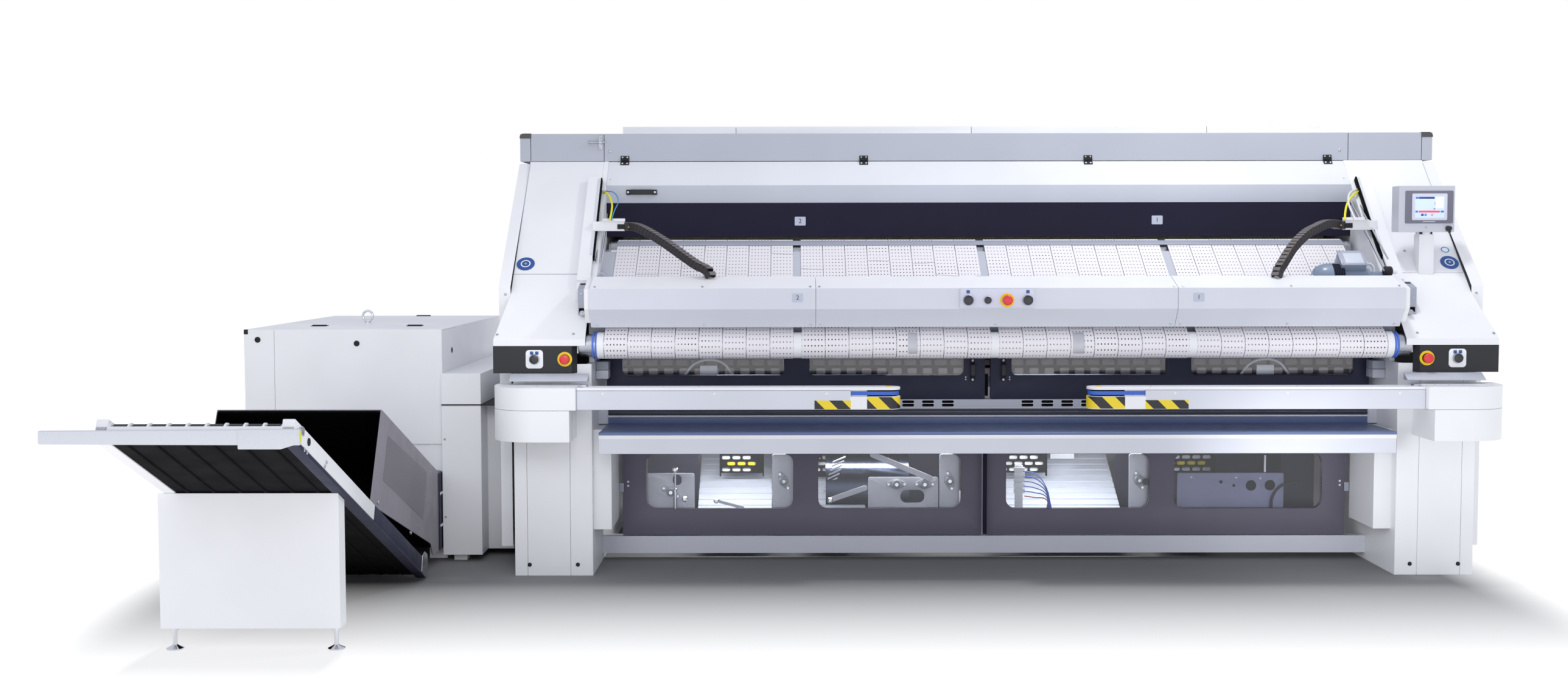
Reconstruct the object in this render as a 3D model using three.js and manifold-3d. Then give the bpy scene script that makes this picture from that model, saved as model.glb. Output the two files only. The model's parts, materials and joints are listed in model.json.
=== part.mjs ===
// A flatwork ironer with a folder and a stacker on its left, in millimetres.
// +X is to the operator's right, +Y to the back and +Z up. X = 0 is the middle of the ironing width,
// Y = 0 the front of the top fascia and Z = 0 the floor, until the last lines move the origin.
import * as THREE from 'three';
import { mergeVertices } from 'three/addons/utils/BufferGeometryUtils.js';
import Module from 'manifold-3d';

const wasm = await Module();
wasm.setup();

// ---- driving dimensions ------------------------------------------------------------------------

const gap = 0.3; // clearance between two pieces that touch or run in each other
const sheet = 4; // folded steel sheet

// Ironer body
const ironingWidth = 3300; // the field of feed belts
const frameMargin = 55; // from the belts to the inner face of a side frame
const frameThickness = 22;
const consoleWidth = 343; // sloped console beside each end of the feed table
const coverDepth = 50; // outer side covers
const cabinetWidth = 310; // lower side cabinets, outside the side frames
const cabinetSetback = 31; // from the consoles' foot back to the cabinets' front
const machineBack = 1050;
const fasciaHeight = 128;
const fasciaDepth = 150;
const roofRise = 46;
const roofMargin = 47; // from a side frame's inner face to the raised part of the roof
const consoleFoot = 1010; // height where the sloped consoles end
const consoleHeight = 786; // from there up to the fascia, and their run, at 45 degrees
const consoleFlange = 27; // upright flange under that edge
const flareWidth = 45; // the consoles widen outwards towards their foot
const flareRun = 185; // from the foot back to where they start to widen
const coverFoot = 100;
const coverFront = -600;
const coverKnee = -560; // where the covers' sloped edge turns steeper
const coverDrops = [11, 528, 568]; // below the fascia at the top, at the knee and at the front

// Feed table, its rollers and the beam over it
const rollerSetback = 25; // the feed roller's axis, behind the cabinets' front
const rollerDrop = 28; // and below the consoles' foot
const rollerRadius = 53;
const rollerEndRadius = 48;
const rollerEndLength = 55;
const rollerBodyMargin = 50; // roller body past the belts, at each end
const shaftRadius = 15;
const beltThickness = 3;
const entryGap = 14.5; // between the belts at the table's end and the dark panel over them
const tableAngle = THREE.MathUtils.degToRad(33.3);
const tableLength = 715; // between the two roller axes
const bedDepth = 93;
const beamReach = 93; // the beam's front, ahead of the feed roller's axis
const beamRun = 75; // and its rear, behind that axis
const beamRises = { lip: 78, faceFoot: 156, faceTop: 243, top: 289 }; // over that axis

// Ironing roll and chest
const rollRadius = 400;
const rollY = 330;
const rollRise = 168; // its axis, over the feed roller's
const journalRadius = 60;
const journalBore = 45;
const chestWall = 30;
const chestClearance = 4;
const drumWall = 12;

// Shelf, doors and arms at the front
const shelfFront = -863;
const shelfTop = 624;
const shelfFascia = 89;
const shelfMargin = 40; // from a side frame to the shelf's end
const shelfRear = -450;
const legBoxWidth = 75; // cover on the inside of each side frame
const legBoxFront = -700;
const legBoxFoot = 190;
const lowerDoorFront = -384;
const lowerDoorFoot = 110;
const lowerDoorTop = 520;
const lowerDoorMargin = 16; // from that cover to the door's end
const lowerDoorInner = 10;
const doorThickness = 24;
const guardFront = -510;
const guardFoot = 731;
const guardRise = 28; // the guard doors' top, over the feed roller's axis
const guardMargin = 38; // from a side frame to the guard door's end
const guardInner = 12;
const armReach = 212; // the arms' front, ahead of the cabinets
const armDepth = 96;
const armHeight = 93;
const armDrop = 45; // below the control boxes
const armJointMargin = 17; // from a side frame's outer face to the seam where an arm swings
const armTips = { left: 410, right: 360 };
const bracketReach = 245; // the brackets' front, ahead of the cabinets
const bracketHeight = 130; // below the arms
const bracketMargins = { inside: 43, outside: 63 }; // past the side frame, past the cabinet
const bracketRound = 165;

// Buttons: their caps stand on stems that slide in bored seats
const stemRadius = 8;
const stemTravel = 5;
const buttonRise = 37; // over the foot of the beam's face
const boxHeight = 115; // up to the consoles' flange
const boxButtonDrop = 55.5; // from that flange down to the buttons
const boxDepth = 30;
const boxMargins = { inside: 38, outside: 79 }; // past the side frame, past the cabinet
const boxReturn = 95;

// Operator panel on its post
const screenMargin = 45; // from a side frame's outer face
const screenWidth = 242;
const screenRise = 152.5; // its foot, over the slope at the post
const screenHeight = 199.5;
const screenFront = -540;
const screenDepth = 85;
const keyInset = 27; // from the panel's right edge
const keyRise = 15.5; // over the panel's lower edge
const postMargin = 175; // from a side frame's outer face
const postY = -490;
const postRadius = 32;

// Folder
const linkWidth = 116; // between the ironer's side cover and the drive cabinet
const driveWidth = 175; // narrow drive cabinet between folder and ironer
const folderWidth = 879;
const folderFront = -400;
const folderBack = 1100;
const folderTop = 1035;
const folderCoverFoot = 523;
const folderFoot = 60;
const folderSeam = -65; // where the front cover is hinged on top
const foldRollerRadius = 40;
const foldShaftRadius = 12;
const foldRollerY = 300;
const foldRollerZ = 720;
const cabinetFace = -427; // front of the drive cabinet
const cabinetFoot = 30;
const cabinetTop = 695;
const capTop = 840;
const linkFront = -270;
const cabinetBack = 1000;

// Stacker
const rampLowY = -835;
const rampLowZ = 50;
const rampAngle = THREE.MathUtils.degToRad(23.3);
const rampLength = 1949;
const rampWidth = 620;
const rampOverhang = 6; // past the folder's right side
const railWidth = 40;
const railHeight = 72;
const rampRollerRadius = 26;
const rampShaftRadius = 8;
const tunnelMargins = { left: 22, right: -15 }; // past each side of the ramp
const tunnelFrontY = -1670; // where the tunnel's mouth meets the ramp
const tunnelMouthY = -1477; // the mouth's upper edge
const tunnelMouthTop = 783;
const tunnelBendY = -504; // where the sloped roof turns level
const tunnelBendTop = 421;
const tunnelRearTop = 403;
const tunnelHeelY = -600; // where the sides reach the folder's foot
const tunnelHeel = 117;
const legFrontY = -2100;
const legDepth = 80;
const legFoot = 82;
const legMargins = { left: 22, right: -20 }; // past each side of the ramp
const guardBarMargins = { left: 165, right: 25 };
const guardBarHeight = 49;
const guardBarDepth = 20;

// ---- derived places ----------------------------------------------------------------------------

const beltHalf = ironingWidth / 2;
const frameInside = beltHalf + frameMargin; // from the middle to the inner face of a side frame
const frameOutside = frameInside + frameThickness;
const consoleOutside = frameOutside + consoleWidth;
const coverOutside = consoleOutside + coverDepth;
const cabinetOutside = frameOutside + cabinetWidth;
const roofHalfWidth = frameInside - roofMargin;
const fasciaBottom = consoleFoot + consoleHeight;
const fasciaTop = fasciaBottom + fasciaHeight;
const consoleFootY = -consoleHeight;
const flareStart = consoleFootY + flareRun;
const cabinetFront = consoleFootY + cabinetSetback;
const flangeFoot = consoleFoot - consoleFlange;
const slopeHeight = (y) => fasciaBottom + y;
const diagonal = Math.SQRT2;

const rollerY = cabinetFront + rollerSetback;
const rollerZ = consoleFoot - rollerDrop;
const beamFront = rollerY - beamReach;
const beamRear = rollerY + beamRun;
const beamLip = rollerZ + beamRises.lip;
const beamFaceBottom = rollerZ + beamRises.faceFoot;
const beamFaceTop = rollerZ + beamRises.faceTop;
const beamTop = rollerZ + beamRises.top;
const buttonHeight = beamFaceBottom + buttonRise;
const rollZ = rollerZ + rollRise;
const guardTop = rollerZ + guardRise;

const shelfUnder = shelfTop - sheet;
const shelfHalfWidth = frameInside - shelfMargin;
const legBoxInside = frameInside - legBoxWidth;
const lowerDoorEnd = legBoxInside - lowerDoorMargin;
const guardEnd = frameInside - guardMargin;
const boxFoot = flangeFoot - boxHeight;
const boxButtonHeight = flangeFoot - boxButtonDrop;
const boxInside = frameOutside + boxMargins.inside;
const boxOutside = cabinetOutside + boxMargins.outside;
const armFront = cabinetFront - armReach;
const armTop = boxFoot - armDrop;
const armFoot = armTop - armHeight;
const armJoint = frameOutside + armJointMargin;
const bracketFront = cabinetFront - bracketReach;
const bracketFoot = armFoot - bracketHeight;
const bracketInside = frameOutside + bracketMargins.inside;
const bracketOutside = cabinetOutside + bracketMargins.outside;
const screenLeft = frameOutside + screenMargin;
const screenFoot = slopeHeight(postY) + screenRise;
const postX = frameOutside + postMargin;

const cabinetRight = -coverOutside - linkWidth;
const folderRight = cabinetRight - driveWidth;
const folderLeft = folderRight - folderWidth;
const rampRight = folderRight + rampOverhang;
const rampLeft = rampRight - rampWidth;
const tunnelRight = rampRight + tunnelMargins.right;
const tunnelLeft = rampLeft - tunnelMargins.left;
const legLeft = rampLeft - legMargins.left;
const legRight = rampRight + legMargins.right;
const guardBarLeft = rampLeft - guardBarMargins.left;
const guardBarRight = rampRight + guardBarMargins.right;

// ---- geometry helpers --------------------------------------------------------------------------

const vectors = (points) => points.map(([u, v]) => new THREE.Vector2(u, v));

// A box between two values on each axis.
function box([x0, x1], [y0, y1], [z0, z1]) {
  const geometry = new THREE.BoxGeometry(x1 - x0, y1 - y0, z1 - z0);
  return geometry.translate((x0 + x1) / 2, (y0 + y1) / 2, (z0 + z1) / 2);
}

// An outline pushed along an axis: (Y, Z) points for x, (X, Z) for y and (X, Y) for z.
function prism(axis, outline, [from, to], holes = []) {
  const shape = new THREE.Shape(vectors(outline));
  shape.holes = holes.map((hole) => new THREE.Path(vectors(hole)));
  const geometry = new THREE.ExtrudeGeometry(shape, { depth: to - from, bevelEnabled: false });
  const [x, y, z] = [new THREE.Vector3(1, 0, 0), new THREE.Vector3(0, 1, 0), new THREE.Vector3(0, 0, 1)];
  geometry.translate(0, 0, axis === 'y' ? -to : from);
  const frames = { x: [y, z, x], y: [x, z, y.clone().negate()], z: [x, y, z] };
  return geometry.applyMatrix4(new THREE.Matrix4().makeBasis(...frames[axis]));
}

// A round bar along an axis, at the two other coordinates.
function rod(axis, radius, [from, to], [a, b], segments = 24) {
  const geometry = new THREE.CylinderGeometry(radius, radius, to - from, segments);
  const middle = (from + to) / 2;
  if (axis === 'x') return geometry.rotateZ(-Math.PI / 2).translate(middle, a, b);
  if (axis === 'y') return geometry.translate(a, middle, b);
  return geometry.rotateX(Math.PI / 2).translate(a, b, middle);
}

// A piece turned about a line along X: (x, radius) points from left to right.
function turned(profile, [y, z], segments = 32) {
  const points = vectors(profile.map(([x, r]) => [r, x]));
  return new THREE.LatheGeometry(points, segments).rotateZ(-Math.PI / 2).translate(0, y, z);
}

// Points on an arc, in degrees.
function arc([cu, cv], radius, from, to, steps) {
  return Array.from({ length: steps + 1 }, (_, i) => {
    const angle = THREE.MathUtils.degToRad(from + ((to - from) * i) / steps);
    return [cu + radius * Math.cos(angle), cv + radius * Math.sin(angle)];
  });
}

// A convex outline drawn in by a distance. Its points run anticlockwise.
function inset(points, distance) {
  const edge = (i) => {
    const [a, b] = [points[i % points.length], points[(i + 1) % points.length]];
    const length = Math.hypot(b[0] - a[0], b[1] - a[1]);
    const normal = [-(b[1] - a[1]) / length, (b[0] - a[0]) / length];
    return { normal, offset: normal[0] * a[0] + normal[1] * a[1] + distance };
  };
  return points.map((_, i) => {
    const [p, q] = [edge(i + points.length - 1), edge(i)];
    const det = p.normal[0] * q.normal[1] - p.normal[1] * q.normal[0];
    return [
      (p.offset * q.normal[1] - q.offset * p.normal[1]) / det,
      (q.offset * p.normal[0] - p.offset * q.normal[0]) / det,
    ];
  });
}

// One shared vertex wherever corners meet, and no triangle without area.
function weld(geometry) {
  const bare = new THREE.BufferGeometry();
  bare.setAttribute('position', geometry.getAttribute('position'));
  bare.setIndex(geometry.index);
  const merged = mergeVertices(bare, 1e-3);
  const corners = merged.index.array;
  const kept = [];
  for (let i = 0; i < corners.length; i += 3) {
    const [a, b, c] = [corners[i], corners[i + 1], corners[i + 2]];
    if (a !== b && b !== c && c !== a) kept.push(a, b, c);
  }
  merged.setIndex(kept);
  return merged;
}

function toSolid(geometry) {
  const welded = weld(geometry);
  const vertProperties = Float32Array.from(welded.getAttribute('position').array);
  const triVerts = Uint32Array.from(welded.index.array);
  return new wasm.Manifold(new wasm.Mesh({ numProp: 3, vertProperties, triVerts }));
}

function fromSolid(solid) {
  const { vertProperties, triVerts } = solid.getMesh();
  const geometry = new THREE.BufferGeometry();
  geometry.setAttribute('position', new THREE.BufferAttribute(vertProperties, 3));
  geometry.setIndex(new THREE.BufferAttribute(triVerts, 1));
  return geometry;
}

const join = (first, ...others) =>
  fromSolid(others.reduce((whole, other) => whole.add(toSolid(other)), toSolid(first)));
const cut = (body, ...tools) =>
  fromSolid(tools.reduce((whole, tool) => whole.subtract(toSolid(tool)), toSolid(body)));

// ---- scene helpers -----------------------------------------------------------------------------

const machine = new THREE.Group();
machine.name = 'flatwork_ironer';
machine.userData.origin = new THREE.Vector3();

// A group at a joint's axis. What it holds is still written in its parent's coordinates.
function pivot(name, x, y, z, parent = machine) {
  const group = new THREE.Group();
  group.name = `pivot_${name}`;
  group.userData.origin = new THREE.Vector3(x, y, z);
  group.position.copy(group.userData.origin);
  parent.add(group);
  return group;
}

function piece(name, material, geometry, parent = machine) {
  const own = weld(geometry);
  own.computeBoundingBox();
  const middle = own.boundingBox.getCenter(new THREE.Vector3());
  own.translate(-middle.x, -middle.y, -middle.z);
  own.computeVertexNormals();
  const mesh = new THREE.Mesh(own, material);
  mesh.name = name;
  mesh.position.copy(middle).sub(parent.userData.origin);
  parent.add(mesh);
  return mesh;
}

const finish = (color, roughness, metalness) =>
  new THREE.MeshStandardMaterial({ color, roughness, metalness });
const whitePaint = () => finish(0xe6e8ee, 0.42, 0);
const greyPaint = () => finish(0xc9cdd6, 0.45, 0);
const charcoalPaint = () => finish(0x33344a, 0.5, 0);
const blackPlastic = () => finish(0x1f2024, 0.5, 0);
const steel = () => finish(0xa9abae, 0.32, 1);
const beltFabric = () => finish(0xefeff0, 0.8, 0);

const sides = [
  { name: 'left', sign: -1 },
  { name: 'right', sign: 1 },
];
// A span measured outwards from the middle, on one side.
const span = (sign, inner, outer) => (sign > 0 ? [inner, outer] : [-outer, -inner]);
const mirrored = (sign, points) => points.map(([x, v]) => [sign * x, v]);

// ---- side frames with their bearings -----------------------------------------------------------

const feedShaftEnd = frameOutside + 61;
const bearingPlate = [frameOutside + 33, frameOutside + 63];
const tableEnd = [
  rollerY + tableLength * Math.cos(tableAngle),
  rollerZ + tableLength * Math.sin(tableAngle),
];
const returnRoller = { y: -400, z: rollerZ - 114, radius: 42 };
const frameFront = cabinetFront + sheet + gap;
const bearingHalf = 110;
const notchRear = rollerY + 80;
const notchFoot = rollerZ - 77;

function sideFrame(sign) {
  const outline = [
    [frameFront, 0],
    [frameFront, notchFoot],
    [notchRear, notchFoot],
    [notchRear, beamLip + 20],
    [beamFront + 53, beamLip + 20],
    [beamFront + 8, beamFaceBottom + 2],
    [beamFront + 8, beamFaceTop - 3],
    [beamRear - 27, beamTop - 6],
    [beamTop - 6 - fasciaBottom, beamTop - 6],
    [-gap, fasciaBottom - gap],
    [machineBack, fasciaBottom - gap],
    [machineBack, 0],
  ];
  const plate = prism('x', outline, span(sign, frameInside, frameOutside));
  const housing = box(
    span(sign, frameInside - 50, frameInside + 1),
    [rollY - bearingHalf, rollY + bearingHalf],
    [rollZ - bearingHalf, rollZ + bearingHalf],
  );
  const bracketZ = [rollerZ - 32, rollerZ + 33];
  const bracket = box(span(sign, ...bearingPlate), [rollerY - 24, rollerY + 170], bracketZ);
  const bracketFootBlock = box(
    span(sign, frameOutside - 1, bearingPlate[1]),
    [rollerY + 90, rollerY + 170],
    bracketZ,
  );
  const legCover = box(
    span(sign, legBoxInside, frameInside + 1),
    [legBoxFront, lowerDoorFront - 6],
    [legBoxFoot, shelfUnder - gap],
  );
  return cut(
    join(plate, housing, bracket, bracketFootBlock, legCover),
    rod('x', journalRadius + gap, span(sign, frameInside - 60, frameInside), [rollY, rollZ], 48),
    rod('x', shaftRadius + gap, span(sign, frameInside - 1, frameOutside + 1), tableEnd),
    rod('x', shaftRadius + gap, span(sign, frameInside - 1, frameOutside + 1), [
      returnRoller.y,
      returnRoller.z,
    ]),
    rod('x', shaftRadius + gap, span(sign, bearingPlate[0] - 1, bearingPlate[1] + 1), [
      rollerY,
      rollerZ,
    ]),
  );
}

// ---- covers at each end ------------------------------------------------------------------------

const cabinetHeight = flangeFoot - 3;

function sideCabinet(sign) {
  const channel = [
    [frameInside, cabinetFront],
    [cabinetOutside, cabinetFront],
    [cabinetOutside, machineBack],
    [frameOutside + gap, machineBack],
    [frameOutside + gap, machineBack - sheet],
    [cabinetOutside - sheet, machineBack - sheet],
    [cabinetOutside - sheet, cabinetFront + sheet],
    [frameInside, cabinetFront + sheet],
  ];
  const shell = prism('z', mirrored(sign, channel), [0, cabinetHeight]);
  const rollerNotch = box(
    span(sign, frameInside - 1, bearingPlate[1] + 5),
    [cabinetFront - 1, cabinetFront + sheet + 1],
    [notchFoot, cabinetHeight + 1],
  );
  return cut(shell, rollerNotch);
}

const sheetRise = sheet * diagonal; // the sheet's thickness, measured upright on the slope

function console(sign) {
  const bent = [
    [-gap, fasciaBottom - gap],
    [consoleFootY, consoleFoot],
    [consoleFootY, flangeFoot],
    [consoleFootY + sheet, flangeFoot],
    [consoleFootY + sheet, slopeHeight(consoleFootY + sheet) - sheetRise],
    [-gap, fasciaBottom - gap - sheetRise],
  ];
  const cheek = [
    [-gap, fasciaBottom - gap],
    [consoleFootY, consoleFoot],
    [consoleFootY, flangeFoot],
    [machineBack, flangeFoot],
    [machineBack, fasciaBottom - gap],
  ];
  const low = [
    [flareStart, slopeHeight(flareStart)],
    [consoleFootY, consoleFoot],
    [consoleFootY, flangeFoot],
    [consoleFootY + sheet, flangeFoot],
    [consoleFootY + sheet, slopeHeight(consoleFootY + sheet) - sheetRise],
    [flareStart, slopeHeight(flareStart) - sheetRise],
  ];
  const outside = [
    [consoleOutside, flareStart],
    [consoleOutside + flareWidth, consoleFootY],
    [consoleOutside + flareWidth, consoleFootY - 10],
    [consoleOutside + flareWidth + 20, consoleFootY - 10],
    [consoleOutside + flareWidth + 20, flareStart + 1],
    [consoleOutside, flareStart + 1],
  ];
  const flare = cut(
    prism('x', low, span(sign, consoleOutside - 1, consoleOutside + flareWidth)),
    prism('z', mirrored(sign, outside), [flangeFoot - 10, slopeHeight(flareStart) + 10]),
  );
  return join(
    prism('x', bent, span(sign, frameOutside + gap, consoleOutside)),
    prism('x', cheek, span(sign, consoleOutside - sheet, consoleOutside)),
    flare,
  );
}

function sideCover(sign) {
  const outline = [
    [0, fasciaBottom - coverDrops[0]],
    [coverKnee, fasciaBottom - coverDrops[1]],
    [coverFront, fasciaBottom - coverDrops[2]],
    [coverFront, coverFoot],
    [machineBack, coverFoot],
    [machineBack, fasciaBottom - coverDrops[0]],
  ];
  return cut(
    prism('x', outline, span(sign, consoleOutside + gap, coverOutside)),
    prism('x', inset(outline, sheet), span(sign, consoleOutside - 1, coverOutside - sheet)),
  );
}

// ---- button seats, arm brackets and rail units --------------------------------------------------

const seatDepth = 14;
const boxFront = cabinetFront - boxDepth;
const boxButtons = { estop: boxInside + 48.5, start: boxInside + 176.5 };

function controlBox(sign) {
  const outline = [
    [boxInside, cabinetFront - gap],
    [boxInside + 20, boxFront],
    [boxOutside, boxFront],
    [boxOutside, boxFront + boxReturn],
    [cabinetOutside + gap, boxFront + boxReturn],
    [cabinetOutside + gap, cabinetFront - gap],
  ];
  const seats = Object.values(boxButtons).map((x) =>
    rod('y', stemRadius + gap, [boxFront - 1, boxFront + seatDepth], [sign * x, boxButtonHeight]),
  );
  return cut(prism('z', mirrored(sign, outline), [boxFoot, flangeFoot - gap]), ...seats);
}

function armBracket(sign) {
  const roundCentre = [bracketOutside - bracketRound, bracketFront + bracketRound];
  const outline = (inside) => [
    [inside, cabinetFront - gap],
    [inside, bracketFront],
    ...arc(roundCentre, bracketRound, -90, 0, 10),
    [bracketOutside, cabinetFront - gap],
  ];
  return join(
    prism('z', mirrored(sign, outline(bracketInside)), [bracketFoot, armFoot]),
    prism('z', mirrored(sign, outline(armJoint + gap)), [armFoot - 1, armTop]),
  );
}

const railInside = frameOutside + 2;
const railWidthX = 58;
const railProud = 30; // height over the slope, square to it
const railTopY = -95;
const railFootY = -560;
const chainBracket = {
  inside: frameInside - 105,
  low: fasciaBottom - 326,
  high: fasciaBottom - 284,
  depth: 43,
};

function railUnit(sign) {
  const lift = (y, proud) => [y, slopeHeight(y) + proud * diagonal];
  const bar = [
    lift(railTopY, gap),
    lift(railTopY - railProud / diagonal, railProud - 1),
    lift(railFootY - railProud / diagonal, railProud - 1),
    lift(railFootY, gap),
  ];
  const endBlock = [
    lift(railFootY + 5, gap),
    lift(railFootY, 20),
    lift(railFootY - 75, 20),
    lift(railFootY - 70, gap),
  ];
  const bracketRear = chainBracket.low - fasciaBottom - 1;
  return join(
    prism('x', bar, span(sign, railInside, railInside + railWidthX)),
    prism('x', endBlock, span(sign, railInside, railInside + railWidthX)),
    box(
      span(sign, chainBracket.inside, railInside + 11),
      [bracketRear - chainBracket.depth, bracketRear],
      [chainBracket.low, chainBracket.high],
    ),
  );
}

const chainWidth = 36;
const chainSpan = 400; // from the bracket in to where it meets the beam
const chainEnd = [chainBracket.inside - chainSpan, beamRear - 50, beamTop + gap];
const chainStraight = 0.06; // share of the way in that it runs level and square to its bracket
// Each chain's way from there: its share of the way in, and its share of the way down.
const chainRoutes = {
  left: [[0.16, 0.03], [0.42, 0.27], [0.73, 0.64], [0.86, 0.79], [0.96, 0.87]],
  right: [
    [0.16, -0.03], [0.29, -0.01], [0.42, 0.07], [0.55, 0.16],
    [0.67, 0.3], [0.79, 0.48], [0.9, 0.72], [0.97, 0.87],
  ],
};

// A cable chain from its bracket down to the top of the beam, along one smooth curve.
function energyChain(sign, way) {
  const start = [
    chainBracket.inside - gap,
    chainBracket.low - fasciaBottom - 1 - chainBracket.depth / 2,
    (chainBracket.low + chainBracket.high) / 2,
  ];
  const towards = (axis, share) => start[axis] + share * (chainEnd[axis] - start[axis]);
  const forward = (inward) => (inward - chainStraight) / (1 - chainStraight);
  const route = [
    start,
    ...[[chainStraight, 0], ...way].map(([inward, down]) => [
      towards(0, inward),
      towards(1, forward(inward)),
      towards(2, down),
    ]),
    [chainEnd[0], chainEnd[1], chainEnd[2] + 10],
    chainEnd,
  ];
  const curve = new THREE.CatmullRomCurve3(
    route.map(([a, b, c]) => new THREE.Vector3(sign * a, b, c)),
    false,
    'centripetal',
  );
  const half = chainWidth / 2;
  const section = new THREE.Shape(vectors([[-half, -half], [half, -half], [half, half], [-half, half]]));
  return new THREE.ExtrudeGeometry(section, { steps: 20, bevelEnabled: false, extrudePath: curve });
}

for (const { name, sign } of sides) {
  piece(`side_frame_${name}`, whitePaint(), sideFrame(sign));
  piece(`side_cabinet_${name}`, whitePaint(), sideCabinet(sign));
  piece(`side_cover_${name}`, whitePaint(), sideCover(sign));
  piece(`control_box_${name}`, blackPlastic(), controlBox(sign));
  piece(`arm_bracket_${name}`, whitePaint(), armBracket(sign));
  piece(`rail_unit_${name}`, greyPaint(), railUnit(sign));
  piece(`energy_chain_${name}`, blackPlastic(), energyChain(sign, chainRoutes[name]));
}
const postFoot = slopeHeight(postY) - postRadius - 10;
const post = cut(
  rod('z', postRadius, [postFoot, screenFoot - gap], [postX, postY]),
  box([postX - 50, postX + 50], [postY + 1, postY + 50], [0, postFoot + 1]),
);
piece('console_left', whitePaint(), console(-1));
piece('console_right', whitePaint(), join(console(1), post));

// ---- top and back of the ironer ----------------------------------------------------------------

const fasciaHalf = coverOutside - 3;
const fasciaFlange = 60; // the lower flange stops short of the back
const fasciaInside = [-fasciaHalf + sheet, fasciaHalf - sheet];
piece(
  'fascia_beam',
  greyPaint(),
  cut(
    box([-fasciaHalf, fasciaHalf], [0, fasciaDepth], [fasciaBottom, fasciaTop]),
    box(fasciaInside, [sheet, fasciaDepth + 1], [fasciaBottom + sheet, fasciaTop - sheet]),
    box(fasciaInside, [fasciaFlange, fasciaDepth + 1], [fasciaBottom - 1, fasciaTop - sheet - 1]),
  ),
);

const roofFront = fasciaDepth + gap;
const roofStep = 50;
const raisedRoof = [roofFront + roofStep, machineBack - roofStep];
const shell = (halfWidth, front, back, foot, top, wall) =>
  box([-halfWidth + wall, halfWidth - wall], [front + wall, back - wall], [foot, top - wall]);
piece(
  'roof_cover',
  whitePaint(),
  cut(
    join(
      shell(fasciaHalf, roofFront, machineBack, fasciaBottom, fasciaTop, 0),
      shell(roofHalfWidth, ...raisedRoof, fasciaBottom, fasciaTop + roofRise, 0),
    ),
    shell(fasciaHalf, roofFront, machineBack, fasciaBottom - 1, fasciaTop, sheet),
    shell(roofHalfWidth, ...raisedRoof, fasciaBottom - 1, fasciaTop + roofRise, sheet),
  ),
);
piece(
  'back_cover',
  whitePaint(),
  box(
    [-consoleOutside + sheet, consoleOutside - sheet],
    [machineBack + gap, machineBack + gap + sheet],
    [coverFoot, fasciaBottom - gap],
  ),
);

// ---- hood and dark panel over the table --------------------------------------------------------

const acrossFrames = [-frameInside + gap, frameInside - gap];
const hoodFront = -120;
const hoodBend = fasciaBottom - 116;
const hoodFoot = hoodBend - 80;
const panelFoot = tableEnd[1] + rollerRadius + beltThickness + entryGap;
const hoodPivotY = -6;
const hoodPivotZ = fasciaBottom + 6;
const hoodPivot = pivot('hood', 0, hoodPivotY, hoodPivotZ);
const hoodProfile = [
  [-1.5, fasciaBottom - 2],
  [hoodFront, hoodBend],
  [hoodFront, hoodFoot],
  [hoodFront + sheet, hoodFoot],
  [hoodFront + sheet, hoodBend - 1.7],
  [-1.5, fasciaBottom - 2 - sheetRise],
];
piece('hood', whitePaint(), prism('x', hoodProfile, acrossFrames), hoodPivot);

const panelY = hoodFront + 2;
const panelProfile = [
  [panelY, panelFoot],
  [panelY + 58, panelFoot],
  [panelY + 58, panelFoot + sheet],
  [panelY + sheet, panelFoot + sheet],
  [panelY + sheet, hoodFoot - gap],
  [panelY, hoodFoot - gap],
];
piece('air_guide_panel', charcoalPaint(), prism('x', panelProfile, acrossFrames));

// ---- feed table, in a frame that runs along the table -------------------------------------------

const table = new THREE.Group();
table.position.set(0, rollerY, rollerZ);
table.rotation.x = tableAngle;
table.userData.origin = new THREE.Vector3();
machine.add(table);

// A roller with stub shafts, on the table's own axis.
function roller(bodyHalf, radius, endHalf, endRadius, shaftHalf, shaft, at) {
  const right = [
    [bodyHalf, radius],
    [bodyHalf, endRadius],
    [endHalf, endRadius],
    [endHalf, shaft],
    [shaftHalf, shaft],
    [shaftHalf, 0],
  ];
  const left = right.map(([x, r]) => [-x, r]).reverse();
  return turned([...left, ...right], at);
}
const rollerBodyHalf = beltHalf + rollerBodyMargin;
piece(
  'feed_roller',
  steel(),
  roller(
    rollerBodyHalf,
    rollerRadius,
    rollerBodyHalf + rollerEndLength,
    rollerEndRadius,
    feedShaftEnd,
    shaftRadius,
    [0, 0],
  ),
  pivot('feed_roller', 0, 0, 0, table),
);
const tailHalf = frameInside - 15;
piece(
  'tail_roller',
  steel(),
  roller(tailHalf - 10, rollerRadius, tailHalf, rollerEndRadius, frameOutside - 7, shaftRadius, [
    tableLength,
    0,
  ]),
  pivot('tail_roller', 0, tableLength, 0, table),
);

// An endless belt round two equal rollers. Its corners stand out so that its flats clear the rollers.
function beltLoop(length, radius, thickness, steps = 12) {
  const corner = (radius + gap) / Math.cos(Math.PI / steps / 2);
  const loop = (r) => [...arc([length, 0], r, -90, 90, steps), ...arc([0, 0], r, 90, 270, steps)];
  return [loop(corner + thickness), loop(corner)];
}
const [beltOutside, beltInside] = beltLoop(tableLength, rollerRadius, beltThickness);
piece('feed_belts', beltFabric(), prism('x', beltOutside, [-beltHalf, beltHalf], [beltInside]), table);

const bedEnds = [rollerRadius + 22, tableLength - rollerRadius - 22];
const bedTop = rollerRadius;
piece(
  'suction_bed',
  greyPaint(),
  cut(
    box(acrossFrames, bedEnds, [bedTop - bedDepth, bedTop]),
    box(
      [acrossFrames[0] - 1, acrossFrames[1] + 1],
      [bedEnds[0] + sheet, bedEnds[1] - sheet],
      [bedTop - bedDepth + sheet, bedTop - sheet],
    ),
  ),
  table,
);

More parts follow.
